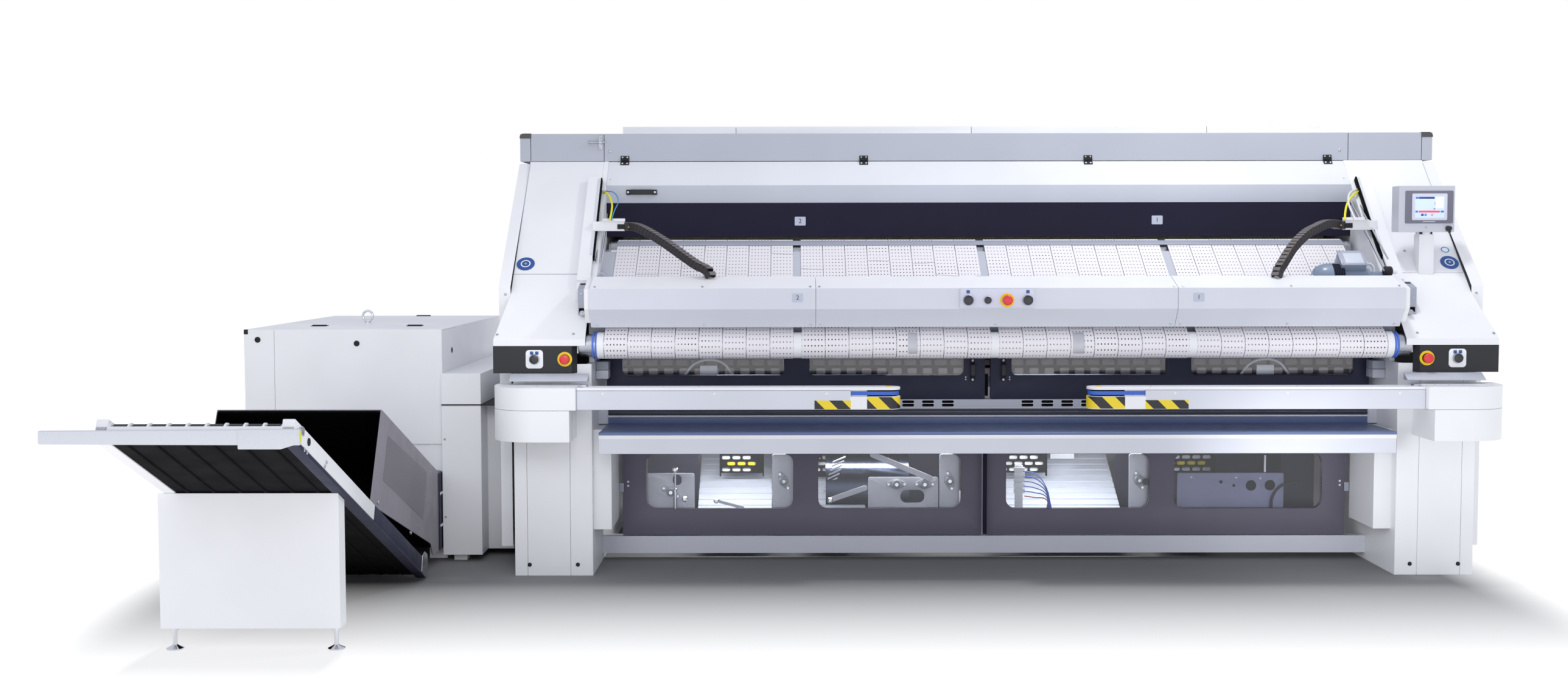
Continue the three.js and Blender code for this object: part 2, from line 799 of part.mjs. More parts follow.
// ---- beam over the feed roller, with its buttons ------------------------------------------------

const centreButtons = [
  { name: 'button_centre_left', x: -121, radius: 20, depth: 12, material: blackPlastic },
  { name: 'button_centre_small', x: -40, radius: 14.5, depth: 8, material: blackPlastic },
  { name: 'estop_centre', x: 41, radius: 20, depth: 22, material: () => finish(0xd8232a, 0.35, 0) },
  { name: 'button_centre_right', x: 127, radius: 20, depth: 12, material: blackPlastic },
];
const controlPlateHalf = 155;
const controlPlateDepth = 12;
const beamOutline = [
  [beamFront, beamFaceBottom],
  [beamFront + 63, beamLip],
  [beamRear, beamLip + 70],
  [beamRear, beamTop],
  [beamRear - 25, beamTop],
  [beamFront, beamFaceTop],
];
const plateFront = beamFront - controlPlateDepth;
const centreSeats = centreButtons.map(({ x }) =>
  rod('y', stemRadius + gap, [plateFront - 1, beamFront + sheet + 1], [x, buttonHeight]),
);
piece(
  'feed_beam',
  greyPaint(),
  cut(
    join(
      prism('x', beamOutline, acrossFrames),
      box(
        [-controlPlateHalf, controlPlateHalf],
        [plateFront, beamFront + 1],
        [beamFaceBottom + 5, beamFaceTop - 3],
      ),
    ),
    prism('x', inset(beamOutline, sheet), [acrossFrames[0] - 1, acrossFrames[1] + 1]),
    ...centreSeats,
  ),
);

// A cap on a stem, both along Y, with room behind the cap for its travel.
function pushButton(name, material, x, z, face, radius, depth, stemLength) {
  const back = face - stemTravel - gap;
  const cap = new THREE.CylinderGeometry(radius, radius * 0.9, depth, 24).rotateZ(Math.PI);
  cap.translate(x, back - depth / 2, z);
  const stem = rod('y', stemRadius, [back - 1, face + stemLength - stemTravel], [x, z]);
  piece(name, material, join(cap, stem), pivot(name, x, face, z));
}
for (const { name, x, radius, depth, material } of centreButtons) {
  pushButton(name, material(), x, buttonHeight, plateFront, radius, depth, controlPlateDepth);
}
for (const { name, sign } of sides) {
  const red = finish(0xd8232a, 0.35, 0);
  const { estop, start } = boxButtons;
  const seat = seatDepth - gap;
  pushButton(`estop_${name}`, red, sign * estop, boxButtonHeight, boxFront, 20, 22, seat);
  pushButton(`button_${name}`, blackPlastic(), sign * start, boxButtonHeight, boxFront, 20, 12, seat);
}

// ---- ironing roll, chest and return roller -------------------------------------------------------

const rollHalf = beltHalf - 10;
const journalHalf = frameInside - 15;
const rollProfile = [
  [-journalHalf, journalBore],
  [-journalHalf, journalRadius],
  [-rollHalf, journalRadius],
  [-rollHalf, rollRadius],
  [rollHalf, rollRadius],
  [rollHalf, journalRadius],
  [journalHalf, journalRadius],
  [journalHalf, journalBore],
  [rollHalf - drumWall, journalBore],
  [rollHalf - drumWall, rollRadius - drumWall],
  [-rollHalf + drumWall, rollRadius - drumWall],
  [-rollHalf + drumWall, journalBore],
  [-journalHalf, journalBore],
];
piece(
  'ironing_roll',
  finish(0xd9d4c6, 0.85, 0),
  turned(rollProfile, [rollY, rollZ], 48),
  pivot('ironing_roll', 0, rollY, rollZ),
);

const chestInner = rollRadius + chestClearance;
const chestOutline = [
  ...arc([rollY, rollZ], chestInner + chestWall, 185, 355, 24),
  ...arc([rollY, rollZ], chestInner, 355, 185, 24),
];
const chestFlange = (sign) =>
  prism(
    'x',
    [
      ...arc([rollY, rollZ], chestInner + chestWall, 230, 310, 12),
      ...arc([rollY, rollZ], chestInner, 310, 230, 12),
    ],
    span(sign, rollHalf - 1, frameInside - gap),
  );
piece(
  'heated_chest',
  steel(),
  join(prism('x', chestOutline, [-rollHalf, rollHalf]), chestFlange(-1), chestFlange(1)),
);

piece(
  'return_roller',
  steel(),
  roller(tailHalf - 10, returnRoller.radius, tailHalf, 30, frameOutside - 7, shaftRadius, [
    returnRoller.y,
    returnRoller.z,
  ]),
  pivot('return_roller', 0, returnRoller.y, returnRoller.z),
);

// ---- shelf, door frame, doors and arms -----------------------------------------------------------

const shelfProfile = [
  [shelfFront, shelfTop - shelfFascia],
  [shelfFront + sheet, shelfTop - shelfFascia],
  [shelfFront + sheet, shelfUnder],
  [shelfRear, shelfUnder],
  [shelfRear, shelfTop],
  [shelfFront, shelfTop],
];
piece('shelf', greyPaint(), prism('x', shelfProfile, [-shelfHalfWidth, shelfHalfWidth]));

const lowerDoorBack = lowerDoorFront + doorThickness;
const postHalf = 40;
const postDepth = 50;
const postTop = guardFoot - 31; // the stay from the centre post to the sill ends here
const stayThickness = 10;
const sillRear = guardFront + 42;
const sillProfile = [
  [guardFront - 2, shelfTop + gap],
  [sillRear, shelfTop + gap],
  [sillRear, shelfTop + gap + sheet],
  [guardFront + 2, shelfTop + gap + sheet],
  [guardFront + 2, guardFoot - gap - sheet],
  [sillRear, guardFoot - gap - sheet],
  [sillRear, guardFoot - gap],
  [guardFront - 2, guardFoot - gap],
];
const beamHigh = lowerDoorFoot - 3;
const lowBeamProfile = [
  [lowerDoorFront - 6, 30],
  [lowerDoorFront + 54, 30],
  [lowerDoorFront + 54, 30 + sheet],
  [lowerDoorFront - 2, 30 + sheet],
  [lowerDoorFront - 2, beamHigh - sheet],
  [lowerDoorFront + 54, beamHigh - sheet],
  [lowerDoorFront + 54, beamHigh],
  [lowerDoorFront - 6, beamHigh],
];
const centrePost = [lowerDoorBack + gap, lowerDoorBack + gap + postDepth];
piece(
  'door_frame',
  greyPaint(),
  join(
    prism('x', lowBeamProfile, acrossFrames),
    box([-postHalf, postHalf], centrePost, [beamHigh - 2, postTop]),
    box([-postHalf, postHalf], [guardFront, centrePost[1]], [postTop - stayThickness, postTop]),
    prism('x', sillProfile, acrossFrames),
  ),
);

// A framed door with two windows. Each window is a thin pane inside the frame.
const paneThickness = 3;
const frameFace = 8; // how far a pane lies behind the door's face
function windowedDoor(sign, inner, outer, front, foot, top, windows, low, high) {
  const recess = ([a, b], from, to) => box(span(sign, a, b), [from, to], [low, high]);
  const leaf = box(span(sign, inner, outer), [front, front + doorThickness], [foot, top]);
  const cuts = windows.flatMap((window) => [
    recess(window, front - 1, front + frameFace),
    recess(window, front + frameFace + paneThickness, front + doorThickness + 1),
  ]);
  return cut(leaf, ...cuts);
}
// Two windows in a door, from its inner and outer margins and the bar between them.
const windowsIn = (inner, outer, [near, far], bar) => [
  [inner + near, bar[0]],
  [bar[1], outer - far],
];
const lowerWindows = windowsIn(lowerDoorInner, lowerDoorEnd, [90, 104], [740, 850]);
const lowerWindowHeights = [lowerDoorFoot + 118, lowerDoorTop - 45];
const guardWindows = windowsIn(guardInner, guardEnd, [92, 67], [780, 890]);
const guardWindowHeights = [guardFoot + 103, guardTop - 25];
const armBack = armFront + armDepth;
const armPivotY = armFront - 3;

function arm(sign, tip) {
  const round = armDepth / 2;
  const outline = [
    [armJoint, armFront],
    [armJoint, armBack],
    ...arc([tip + round, armFront + round], round, 90, 270, 12),
  ];
  return prism('z', mirrored(sign, outline), [armFoot, armTop]);
}

for (const { name, sign } of sides) {
  piece(
    `lower_door_${name}`,
    finish(0x5c5765, 0.5, 0),
    windowedDoor(
      sign,
      lowerDoorInner,
      lowerDoorEnd,
      lowerDoorFront,
      lowerDoorFoot,
      lowerDoorTop,
      lowerWindows,
      ...lowerWindowHeights,
    ),
    pivot(`lower_door_${name}`, sign * lowerDoorInner, lowerDoorFront, lowerDoorFoot),
  );
  piece(
    `guard_door_${name}`,
    charcoalPaint(),
    windowedDoor(
      sign,
      guardInner,
      guardEnd,
      guardFront,
      guardFoot,
      guardTop,
      guardWindows,
      ...guardWindowHeights,
    ),
    pivot(`guard_door_${name}`, sign * guardInner, guardFront, guardFoot),
  );
  piece(
    `arm_${name}`,
    whitePaint(),
    arm(sign, armTips[name]),
    pivot(`arm_${name}`, sign * armJoint, armPivotY, armFoot),
  );
}

// ---- operator panel ------------------------------------------------------------------------------

const keyX = screenLeft + screenWidth - keyInset;
const keyZ = screenFoot + keyRise;
const keyStem = 6;
const screenPivot = pivot('operator_panel', postX, postY, screenFoot);
piece(
  'operator_panel',
  blackPlastic(),
  cut(
    box(
      [screenLeft, screenLeft + screenWidth],
      [screenFront, screenFront + screenDepth],
      [screenFoot, screenFoot + screenHeight],
    ),
    rod('y', keyStem + gap, [screenFront - 1, screenFront + 12], [keyX, keyZ]),
  ),
  screenPivot,
);
piece(
  'key_switch',
  steel(),
  join(
    rod('y', keyStem, [screenFront - gap - 3, screenFront + 12 - gap], [keyX, keyZ]),
    rod('y', 11, [screenFront - gap - 8, screenFront - gap], [keyX, keyZ]),
    box([keyX - 3, keyX + 3], [screenFront - 24, screenFront - 7], [keyZ - 9, keyZ + 9]),
  ),
  pivot('key_switch', keyX, screenFront, keyZ),
);

// ---- folder ---------------------------------------------------------------------------------------

const folderInside = [folderLeft + sheet, folderRight - sheet];
const outletLeft = tunnelLeft + 10;
const outletRight = tunnelRight - 10;
const folderPanel = folderFront + 8;
const wallFront = folderFront + sheet + gap;
function folderWall([x0, x1]) {
  const outline = [
    [wallFront, folderFoot],
    [wallFront, folderTop - sheet - gap],
    [folderSeam + gap, folderTop - sheet - gap],
    [folderSeam + gap, folderTop],
    [folderBack, folderTop],
    [folderBack, folderFoot],
  ];
  return prism('x', outline, [x0, x1]);
}
const footPad = (x, y) => box([x, x + 80], [y, y + 80], [0, folderFoot + 10]);
const padX = [folderLeft, folderRight - 80];
const padY = [wallFront + 60, folderBack - 80];
const foldAxes = [foldRollerZ, foldRollerZ + 2 * foldRollerRadius + 1];
piece(
  'folder_housing',
  whitePaint(),
  cut(
    join(
      folderWall([folderLeft, folderLeft + sheet]),
      folderWall([folderRight - sheet, folderRight]),
      box([folderLeft, folderRight], [folderBack - sheet, folderBack], [folderFoot, folderTop]),
      box([folderLeft, folderRight], [folderSeam + gap, folderBack], [folderTop - sheet, folderTop]),
      box([folderLeft, folderRight], [folderPanel, folderPanel + sheet], [folderFoot, folderCoverFoot + 20]),
      ...padX.flatMap((x) => padY.map((y) => footPad(x, y))),
    ),
    box(
      [outletLeft, outletRight],
      [folderPanel - 1, folderPanel + sheet + 1],
      [folderFoot + 10, tunnelRearTop - 3],
    ),
    ...foldAxes.map((z) =>
      rod('x', foldShaftRadius + gap, [folderLeft - 1, folderRight + 1], [foldRollerY, z]),
    ),
  ),
);

const coverPivot = pivot('folder_cover', (folderLeft + folderRight) / 2, folderSeam, folderTop + 3);
piece(
  'folder_cover',
  whitePaint(),
  prism(
    'x',
    [
      [folderFront, folderCoverFoot],
      [folderFront + sheet, folderCoverFoot],
      [folderFront + sheet, folderTop - sheet],
      [folderSeam, folderTop - sheet],
      [folderSeam, folderTop],
      [folderFront, folderTop],
    ],
    [folderLeft, folderRight],
  ),
  coverPivot,
);

for (const [name, z] of [['lower', foldAxes[0]], ['upper', foldAxes[1]]]) {
  const ends = [folderInside[0] + 15, folderInside[1] - 15];
  const profile = [
    [folderLeft + 1, 0],
    [folderLeft + 1, foldShaftRadius],
    [ends[0], foldShaftRadius],
    [ends[0], foldRollerRadius],
    [ends[1], foldRollerRadius],
    [ends[1], foldShaftRadius],
    [folderRight - 1, foldShaftRadius],
    [folderRight - 1, 0],
  ];
  const at = [foldRollerY, z];
  piece(
    `fold_roller_${name}`,
    steel(),
    turned(profile, at, 24),
    pivot(`fold_roller_${name}`, (folderLeft + folderRight) / 2, ...at),
  );
}

// ---- drive cabinet between the folder and the ironer -----------------------------------------------

const cabinetLeft = folderRight + gap;
const linkRight = -coverOutside - gap;
const cabinetFeet = [cabinetFace + 40, cabinetBack - 100].map((y) =>
  box([cabinetLeft + 40, cabinetLeft + 100], [y, y + 60], [0, cabinetTop - sheet + 1]),
);
piece(
  'drive_cabinet',
  whitePaint(),
  join(
    cut(
      join(
        box([cabinetLeft, cabinetRight], [cabinetFace, cabinetBack], [cabinetFoot, cabinetTop]),
        box([cabinetRight - 1, linkRight], [linkFront, cabinetBack], [cabinetFoot, cabinetTop - 5]),
      ),
      box(
        [cabinetLeft + sheet, cabinetRight - sheet],
        [cabinetFace + sheet, cabinetBack - sheet],
        [0, cabinetTop - sheet],
      ),
      box(
        [cabinetRight - sheet - 1, linkRight - sheet],
        [linkFront + sheet, cabinetBack - sheet],
        [0, cabinetTop - 5 - sheet],
      ),
    ),
    ...cabinetFeet,
  ),
);
piece(
  'transfer_cover',
  whitePaint(),
  cut(
    box([cabinetLeft, cabinetRight], [cabinetFace, cabinetBack], [cabinetTop + gap, capTop]),
    box(
      [cabinetLeft + sheet, cabinetRight - sheet],
      [cabinetFace + sheet, cabinetBack - sheet],
      [cabinetTop, capTop - sheet],
    ),
  ),
);

// ---- stacker: tunnel, ramp, leg and guard bar -------------------------------------------------------

const rampHeight = (y, lift) =>
  rampLowZ + (rampLowY - y) * Math.tan(rampAngle) + lift / Math.cos(rampAngle);
const railHalf = railHeight / 2;
const tunnelFrontLow = [tunnelFrontY, rampHeight(tunnelFrontY, railHalf) + 1];
const tunnelBack = folderPanel - gap;
const tunnelOutline = [
  [tunnelMouthY, tunnelMouthTop],
  tunnelFrontLow,
  [tunnelHeelY - 37, tunnelHeel],
  [tunnelHeelY, folderFoot],
  [tunnelBack, folderFoot],
  [tunnelBack, tunnelRearTop],
  [tunnelBendY, tunnelBendTop],
];
const roofSlope = (tunnelMouthTop - tunnelBendTop) / (tunnelMouthY - tunnelBendY);
const beyondMouth = tunnelFrontY - 230;
const tunnelInner = [
  [beyondMouth, tunnelMouthTop + roofSlope * (beyondMouth - tunnelMouthY) - sheet],
  [beyondMouth, 0],
  [tunnelBack + 10, 0],
  [tunnelBack + 10, tunnelRearTop - sheet],
  [tunnelBendY, tunnelBendTop - sheet],
];
piece(
  'stack_tunnel',
  charcoalPaint(),
  cut(
    prism('x', tunnelOutline, [tunnelLeft, tunnelRight]),
    prism('x', tunnelInner, [tunnelLeft + sheet, tunnelRight - sheet]),
  ),
);

const ramp = new THREE.Group();
ramp.position.set(0, rampLowY, rampLowZ);
ramp.rotation.x = -rampAngle;
ramp.userData.origin = new THREE.Vector3();
machine.add(ramp);

const rollerOverhang = 34;
const railY = [-rampLength - rollerOverhang, rollerOverhang];
const insideRails = [rampLeft + railWidth, rampRight - railWidth];
const trayThickness = 6;
piece(
  'ramp_frame',
  whitePaint(),
  cut(
    join(
      box([rampLeft, insideRails[0]], railY, [-railHalf, railHalf]),
      box([insideRails[1], rampRight], railY, [-railHalf, railHalf]),
      box(
        [insideRails[0] - 1, insideRails[1] + 1],
        [railY[0] + 60, railY[1] - 60],
        [-railHalf, -railHalf + trayThickness],
      ),
    ),
    rod('x', rampShaftRadius + gap, [rampLeft - 1, rampRight + 1], [0, 0], 16),
    rod('x', rampShaftRadius + gap, [rampLeft - 1, rampRight + 1], [-rampLength, 0], 16),
  ),
  ramp,
);
for (const [name, y] of [['ramp_foot_roller', 0], ['ramp_head_roller', -rampLength]]) {
  const [left, right] = [insideRails[0] + 8, insideRails[1] - 8];
  const profile = [
    [rampLeft + 5, 0],
    [rampLeft + 5, rampShaftRadius],
    [left, rampShaftRadius],
    [left, rampRollerRadius],
    [right, rampRollerRadius],
    [right, rampShaftRadius],
    [rampRight - 5, rampShaftRadius],
    [rampRight - 5, 0],
  ];
  piece(name, steel(), turned(profile, [y, 0], 24), pivot(name, (left + right) / 2, y, 0, ramp));
}
const [rampBeltOutside, rampBeltInside] = beltLoop(rampLength, rampRollerRadius, 2, 8);
piece(
  'ramp_belts',
  blackPlastic(),
  prism('x', rampBeltOutside, [insideRails[0] + 12, insideRails[1] - 12], [rampBeltInside]).translate(
    0,
    -rampLength,
    0,
  ),
  ramp,
);

const underRamp = (y) => rampHeight(y, -railHalf) - gap;
const legBack = legFrontY + legDepth;
const legSection = [
  [legFrontY, legFoot],
  [legBack, legFoot],
  [legBack, underRamp(legBack)],
  [legFrontY, underRamp(legFrontY)],
];
const footY = legFrontY + 50;
const levelFoot = (x) =>
  join(rod('z', 30, [0, 10], [x, footY], 20), rod('z', 8, [9, legFoot + 1], [x, footY], 12));
piece(
  'stacker_leg',
  whitePaint(),
  join(
    cut(
      prism('x', legSection, [legLeft, legRight]),
      box(
        [legLeft + sheet, legRight - sheet],
        [legFrontY + sheet, legBack + 1],
        [legFoot + sheet, underRamp(legBack) - sheet],
      ),
    ),
    levelFoot(legLeft + 32),
    levelFoot(legRight - 28),
  ),
);

// The bar stands just clear of the lowest front corner of the rails.
const railEnd = -railY[0];
const railTip = {
  y: rampLowY - railEnd * Math.cos(rampAngle) - railHalf * Math.sin(rampAngle),
  z: rampLowZ + railEnd * Math.sin(rampAngle) - railHalf * Math.cos(rampAngle),
};
piece(
  'guard_bar',
  whitePaint(),
  box(
    [guardBarLeft, guardBarRight],
    [railTip.y - gap - guardBarDepth, railTip.y - gap],
    [railTip.z - 12, railTip.z - 12 + guardBarHeight],
  ),
);

// ---- the origin goes to the middle of the footprint, on the floor ------------------------------------

machine.updateMatrixWorld(true);
const extent = new THREE.Box3().setFromObject(machine, true);
const footprint = extent.getCenter(new THREE.Vector3());
machine.position.set(-footprint.x, -footprint.y, -extent.min.z);
machine.updateMatrixWorld(true);

export default machine;
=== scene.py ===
# %% [markdown]
# # A flatwork ironer, dressed for its picture
#
# The machine irons sheets. An operator feeds them onto a slope of white belts, the belts carry them
# to a padded roll in a hot chest, a box on the left folds them and a ramp stacks them. The solids
# of the construction come in as a fixed frame. This file gives them the look of the real machine:
# sheet steel with rounded folds, perforated belts, screws, seams, cables and working lamps of
# colour.

# %% Load the frame
import json
import math
import random

import bmesh
import bpy
from mathutils import Matrix, Vector


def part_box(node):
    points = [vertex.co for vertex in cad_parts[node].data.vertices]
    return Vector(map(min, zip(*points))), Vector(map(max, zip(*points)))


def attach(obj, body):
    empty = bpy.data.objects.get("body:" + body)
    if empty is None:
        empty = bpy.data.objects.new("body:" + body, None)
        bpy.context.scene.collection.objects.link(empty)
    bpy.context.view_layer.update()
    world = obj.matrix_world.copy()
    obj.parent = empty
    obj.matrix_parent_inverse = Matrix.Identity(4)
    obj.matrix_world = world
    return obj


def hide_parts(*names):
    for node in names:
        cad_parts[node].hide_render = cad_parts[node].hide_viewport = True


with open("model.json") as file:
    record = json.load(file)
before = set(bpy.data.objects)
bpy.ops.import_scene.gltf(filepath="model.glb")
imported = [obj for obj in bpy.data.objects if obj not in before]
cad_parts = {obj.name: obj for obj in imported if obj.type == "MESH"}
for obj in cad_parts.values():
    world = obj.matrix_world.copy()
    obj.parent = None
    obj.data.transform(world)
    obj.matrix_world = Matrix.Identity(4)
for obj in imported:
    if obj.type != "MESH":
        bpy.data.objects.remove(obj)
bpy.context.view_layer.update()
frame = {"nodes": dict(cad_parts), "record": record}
print("solids in the frame:", len(frame["nodes"]))

# %% [markdown]
# ## One set of measures
#
# A fitter measures this machine from the middle of its feed belts, from the front of the top fascia
# and from the floor. The frame's own origin is elsewhere, so two solids say where that point is.
# Every piece below is made in millimetres from there, and one matrix takes it into the frame.

# %% The machine's own origin
belts_low, belts_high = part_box("feed_belts")
fascia_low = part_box("fascia_beam")[0]
ORIGIN = Vector(((belts_low.x + belts_high.x) / 2, fascia_low.y, 0.0))
MILLIMETRE = 0.001
TO_FRAME = Matrix.Translation(ORIGIN) @ Matrix.Scale(MILLIMETRE, 4)


def reach(node):
    """The lowest and highest corner of a solid, in the machine's millimetres."""
    low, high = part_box(node)
    return TO_FRAME.inverted() @ low, TO_FRAME.inverted() @ high


print("origin of the machine:", [round(value, 4) for value in ORIGIN])

# %% [markdown]
# ## Camera
#
# The picture is taken from the left of the middle, a little over table height and nearly level. A
# 38.5 mm lens on a 36 mm wide sensor gives its frame without any shift.

# %% Camera
CAMERA_PLACE = Vector((-872, -7835, 1400))
CAMERA_LENS = 38.53
CAMERA_PITCH = math.radians(3.36)
CAMERA_YAW = -0.0026
CAMERA_ROLL = -0.0016

camera = bpy.data.objects.new("camera", bpy.data.cameras.new("camera"))
camera.data.lens = CAMERA_LENS
camera.data.sensor_width = 36
camera.data.sensor_fit = "HORIZONTAL"
camera.data.clip_end = 60
turn = Matrix.Rotation(-CAMERA_YAW, 4, "Z") @ Matrix.Rotation(math.pi / 2 - CAMERA_PITCH, 4, "X")
camera.matrix_world = (
    Matrix.Translation(TO_FRAME @ CAMERA_PLACE) @ turn @ Matrix.Rotation(CAMERA_ROLL, 4, "Z")
)
bpy.context.scene.collection.objects.link(camera)
bpy.context.scene.camera = camera
print("camera at", [round(value, 3) for value in camera.location])

# %% [markdown]
# ## Colour and one way to make a shader
#
# Paint charts give colours as sRGB hex values, and a shader wants linear light, so one function
# turns them. A second one adds a node with its settings, values and links. All materials are built
# with it.

# %% Colour and nodes
def linear(hex_colour, alpha=1.0):
    """An sRGB hex colour as linear light."""
    parts = [int(hex_colour[i:i + 2], 16) / 255 for i in (1, 3, 5)]
    return (*(p / 12.92 if p <= 0.04045 else ((p + 0.055) / 1.055) ** 2.4 for p in parts), alpha)


def add(material, kind, values=None, links=None, **settings):
    """Adds a shader node. values and links are keyed by socket name or number."""
    tree = material.node_tree
    made = tree.nodes.new("ShaderNode" + kind)
    for name, value in settings.items():
        setattr(made, name, value)
    for socket, value in (values or {}).items():
        made.inputs[socket].default_value = value
    for socket, source in (links or {}).items():
        tree.links.new(source, made.inputs[socket])
    return made


def blank(name, slot=None):
    """A material with nothing but its output, and that output. slot is its paint in the record."""
    material = bpy.data.materials.new(name)
    material.use_nodes = True
    material.node_tree.nodes.clear()
    if slot:
        material["slot"] = slot
    return material, add(material, "OutputMaterial")


def join(material, source, target):
    material.node_tree.links.new(source, target)


def surface(material, output, shader):
    join(material, shader.outputs[0], output.inputs["Surface"])
    return material


# %% [markdown]
# ## Floor, backdrop and light
#
# The machine stands in a plain white studio. The floor is grey and keeps the machine's shadow. Away
# from the machine it glows until it is as white as the backdrop. The glow starts at the footprints
# of the machine and of the stacker's leg and stays low near them: a painted shadow round the
# machine and a fainter one under the leg. A pale sky gives most of the light, and lamps add the
# direction.

# %% Studio
# Footprints on the floor, in X and Y, and how far the glow stays away from them
MACHINE_PRINT = ((-3250, 1880), (-840, 1000))
LEG_PRINT = ((-3060, -2440), (-2250, -1500))
GLOW_START = 0.05
FASTER_SIDEWAYS = (4.5, 1, 1)


def glow_outside(material, place, spans, full_at, low, high):
    """A glow that grows from low to high with the distance in metres from a footprint."""
    (x0, x1), (y0, y1) = ([value * MILLIMETRE for value in span] for span in spans)
    middle = Vector(((x0 + x1) / 2, (y0 + y1) / 2, 0)) + ORIGIN
    half = ((x1 - x0) / 2, (y1 - y0) / 2, 1.0)
    off = add(
        material, "VectorMath", {1: middle}, {0: place.outputs["Object"]}, operation="SUBTRACT"
    )
    size = add(material, "VectorMath", links={0: off.outputs[0]}, operation="ABSOLUTE")
    past = add(material, "VectorMath", {1: half}, {0: size.outputs[0]}, operation="SUBTRACT")
    outside = add(material, "VectorMath", {1: (0, 0, 0)}, {0: past.outputs[0]}, operation="MAXIMUM")
    stretched = add(
        material, "VectorMath", {1: FASTER_SIDEWAYS}, {0: outside.outputs[0]}, operation="MULTIPLY"
    )
    far = add(material, "VectorMath", links={0: stretched.outputs[0]}, operation="LENGTH")
    ends = {"From Min": GLOW_START, "From Max": full_at, "To Min": low, "To Max": high}
    return add(material, "MapRange", ends, {"Value": far.outputs["Value"]}, clamp=True)


def studio_floor(name, colour):
    material, output = blank(name)
    place = add(material, "TexCoord")
    # No glow at the machine's footprint and 0.7 at the leg's: a painted shadow on the floor
    machine = glow_outside(material, place, MACHINE_PRINT, 1.5, 0.0, 0.92)
    leg = glow_outside(material, place, LEG_PRINT, 0.5, 0.7, 1.05)
    glow = add(
        material, "Math", links={0: machine.outputs[0], 1: leg.outputs[0]}, operation="MINIMUM"
    )
    matt = add(material, "BsdfDiffuse", {"Color": linear(colour)})
    glowing = add(material, "Emission", links={"Strength": glow.outputs[0]})
    both = add(material, "AddShader", links={0: matt.outputs[0], 1: glowing.outputs[0]})
    return surface(material, output, both)


FLOOR_HALF = 14000
floor_shape = bmesh.new()
bmesh.ops.create_grid(floor_shape, x_segments=2, y_segments=2, size=FLOOR_HALF)
bmesh.ops.transform(floor_shape, matrix=TO_FRAME, verts=floor_shape.verts)
floor = bpy.data.objects.new("floor", bpy.data.meshes.new("floor"))
floor_shape.to_mesh(floor.data)
floor.data.materials.append(studio_floor("painted_studio_floor", "#8E8E8F"))
bpy.context.scene.collection.objects.link(floor)

SKY_LIGHT = 0.84
world = bpy.data.worlds.new("studio")
bpy.context.scene.world = world
world.use_nodes = True
world.node_tree.nodes.clear()
world_output = add(world, "OutputWorld")
rays = add(world, "LightPath")
glossy_or_lens = add(
    world, "Math", links={0: rays.outputs["Is Camera Ray"], 1: rays.outputs["Is Transmission Ray"]},
    operation="MAXIMUM",
)
fill = add(world, "Background", {"Color": linear("#EDF0F9"), "Strength": SKY_LIGHT})
backdrop = add(world, "Background", {"Color": (1, 1, 1, 1), "Strength": 1.0})
chosen = add(
    world, "MixShader",
    links={0: glossy_or_lens.outputs[0], 1: fill.outputs[0], 2: backdrop.outputs[0]},
)
surface(world, world_output, chosen)


def soft_lamp(name, place, target, size, watts, spread=180):
    lamp = bpy.data.objects.new(name, bpy.data.lights.new(name, "AREA"))
    lamp.data.shape = "RECTANGLE"
    lamp.data.size, lamp.data.size_y = size
    lamp.data.energy = watts
    lamp.data.spread = math.radians(spread)
    lamp.location = TO_FRAME @ Vector(place)
    aim = TO_FRAME @ Vector(target) - lamp.location
    lamp.rotation_euler = aim.to_track_quat("-Z", "Y").to_euler()
    bpy.context.scene.collection.objects.link(lamp)


soft_lamp("front_left", (-4200, -6500, 4200), (-300, -300, 900), (4.0, 3.0), 24)
soft_lamp("front_right", (3800, -6800, 3600), (600, -300, 1000), (4.0, 3.0), 14)
soft_lamp("front_low", (-600, -8800, 1200), (-600, 0, 900), (11.0, 2.4), 66)
soft_lamp("key", (1200, -900, 3800), (300, -400, 1000), (0.32, 0.32), 32)
soft_lamp("recess_left", (-1750, -3000, 1700), (-2330, -300, 620), (0.8, 0.8), 1.1, 50)
soft_lamp("recess_right", (950, -1500, 450), (1727, -350, 420), (0.5, 0.5), 1.2, 90)
for number, x in enumerate((-1130, -420, 420)):
    soft_lamp(f"work_light_{number}", (x, -335, 488), (x, -150, 200), (0.6, 0.03), 3.0)
bpy.context.scene.view_settings.view_transform = "Standard"

# %% [markdown]
# ## Shapes a sheet-metal shop would know
#
# Most of the machine is folded sheet, turned bar and moulded plastic. These few helpers make such
# forms with Blender's own operators: a block with rounded edges, an outline pushed along an axis, a
# plate with holes, a round bar and a turned profile. Sizes are in millimetres.

# %% Shape helpers
FOLD_ANGLE = 30
AXES = {"x": Vector((1, 0, 0)), "y": Vector((0, 1, 0)), "z": Vector((0, 0, 1))}
# Where the two coordinates of an outline go, for each axis that it is pushed along
PLANES = {
    "x": lambda along, u, v: Vector((along, u, v)),
    "y": lambda along, u, v: Vector((u, along, v)),
    "z": lambda along, u, v: Vector((u, v, along)),
}


def merged(*shapes):
    """Several shapes as one."""
    whole = shapes[0]
    for other in shapes[1:]:
        spare = bpy.data.meshes.new("spare")
        other.to_mesh(spare)
        other.free()
        whole.from_mesh(spare)
        bpy.data.meshes.remove(spare)
    return whole


def moved(shape, matrix):
    bmesh.ops.transform(shape, matrix=matrix, verts=shape.verts)
    return shape


def on_side(sign, near, far):
    """A (low, high) span in X on one side of the machine's middle."""
    return tuple(sorted((sign * near, sign * far)))


def outward(face, out, depth):
    """A (low, high) span from a face to a depth on one side of it."""
    return tuple(sorted((face, face + out * depth)))


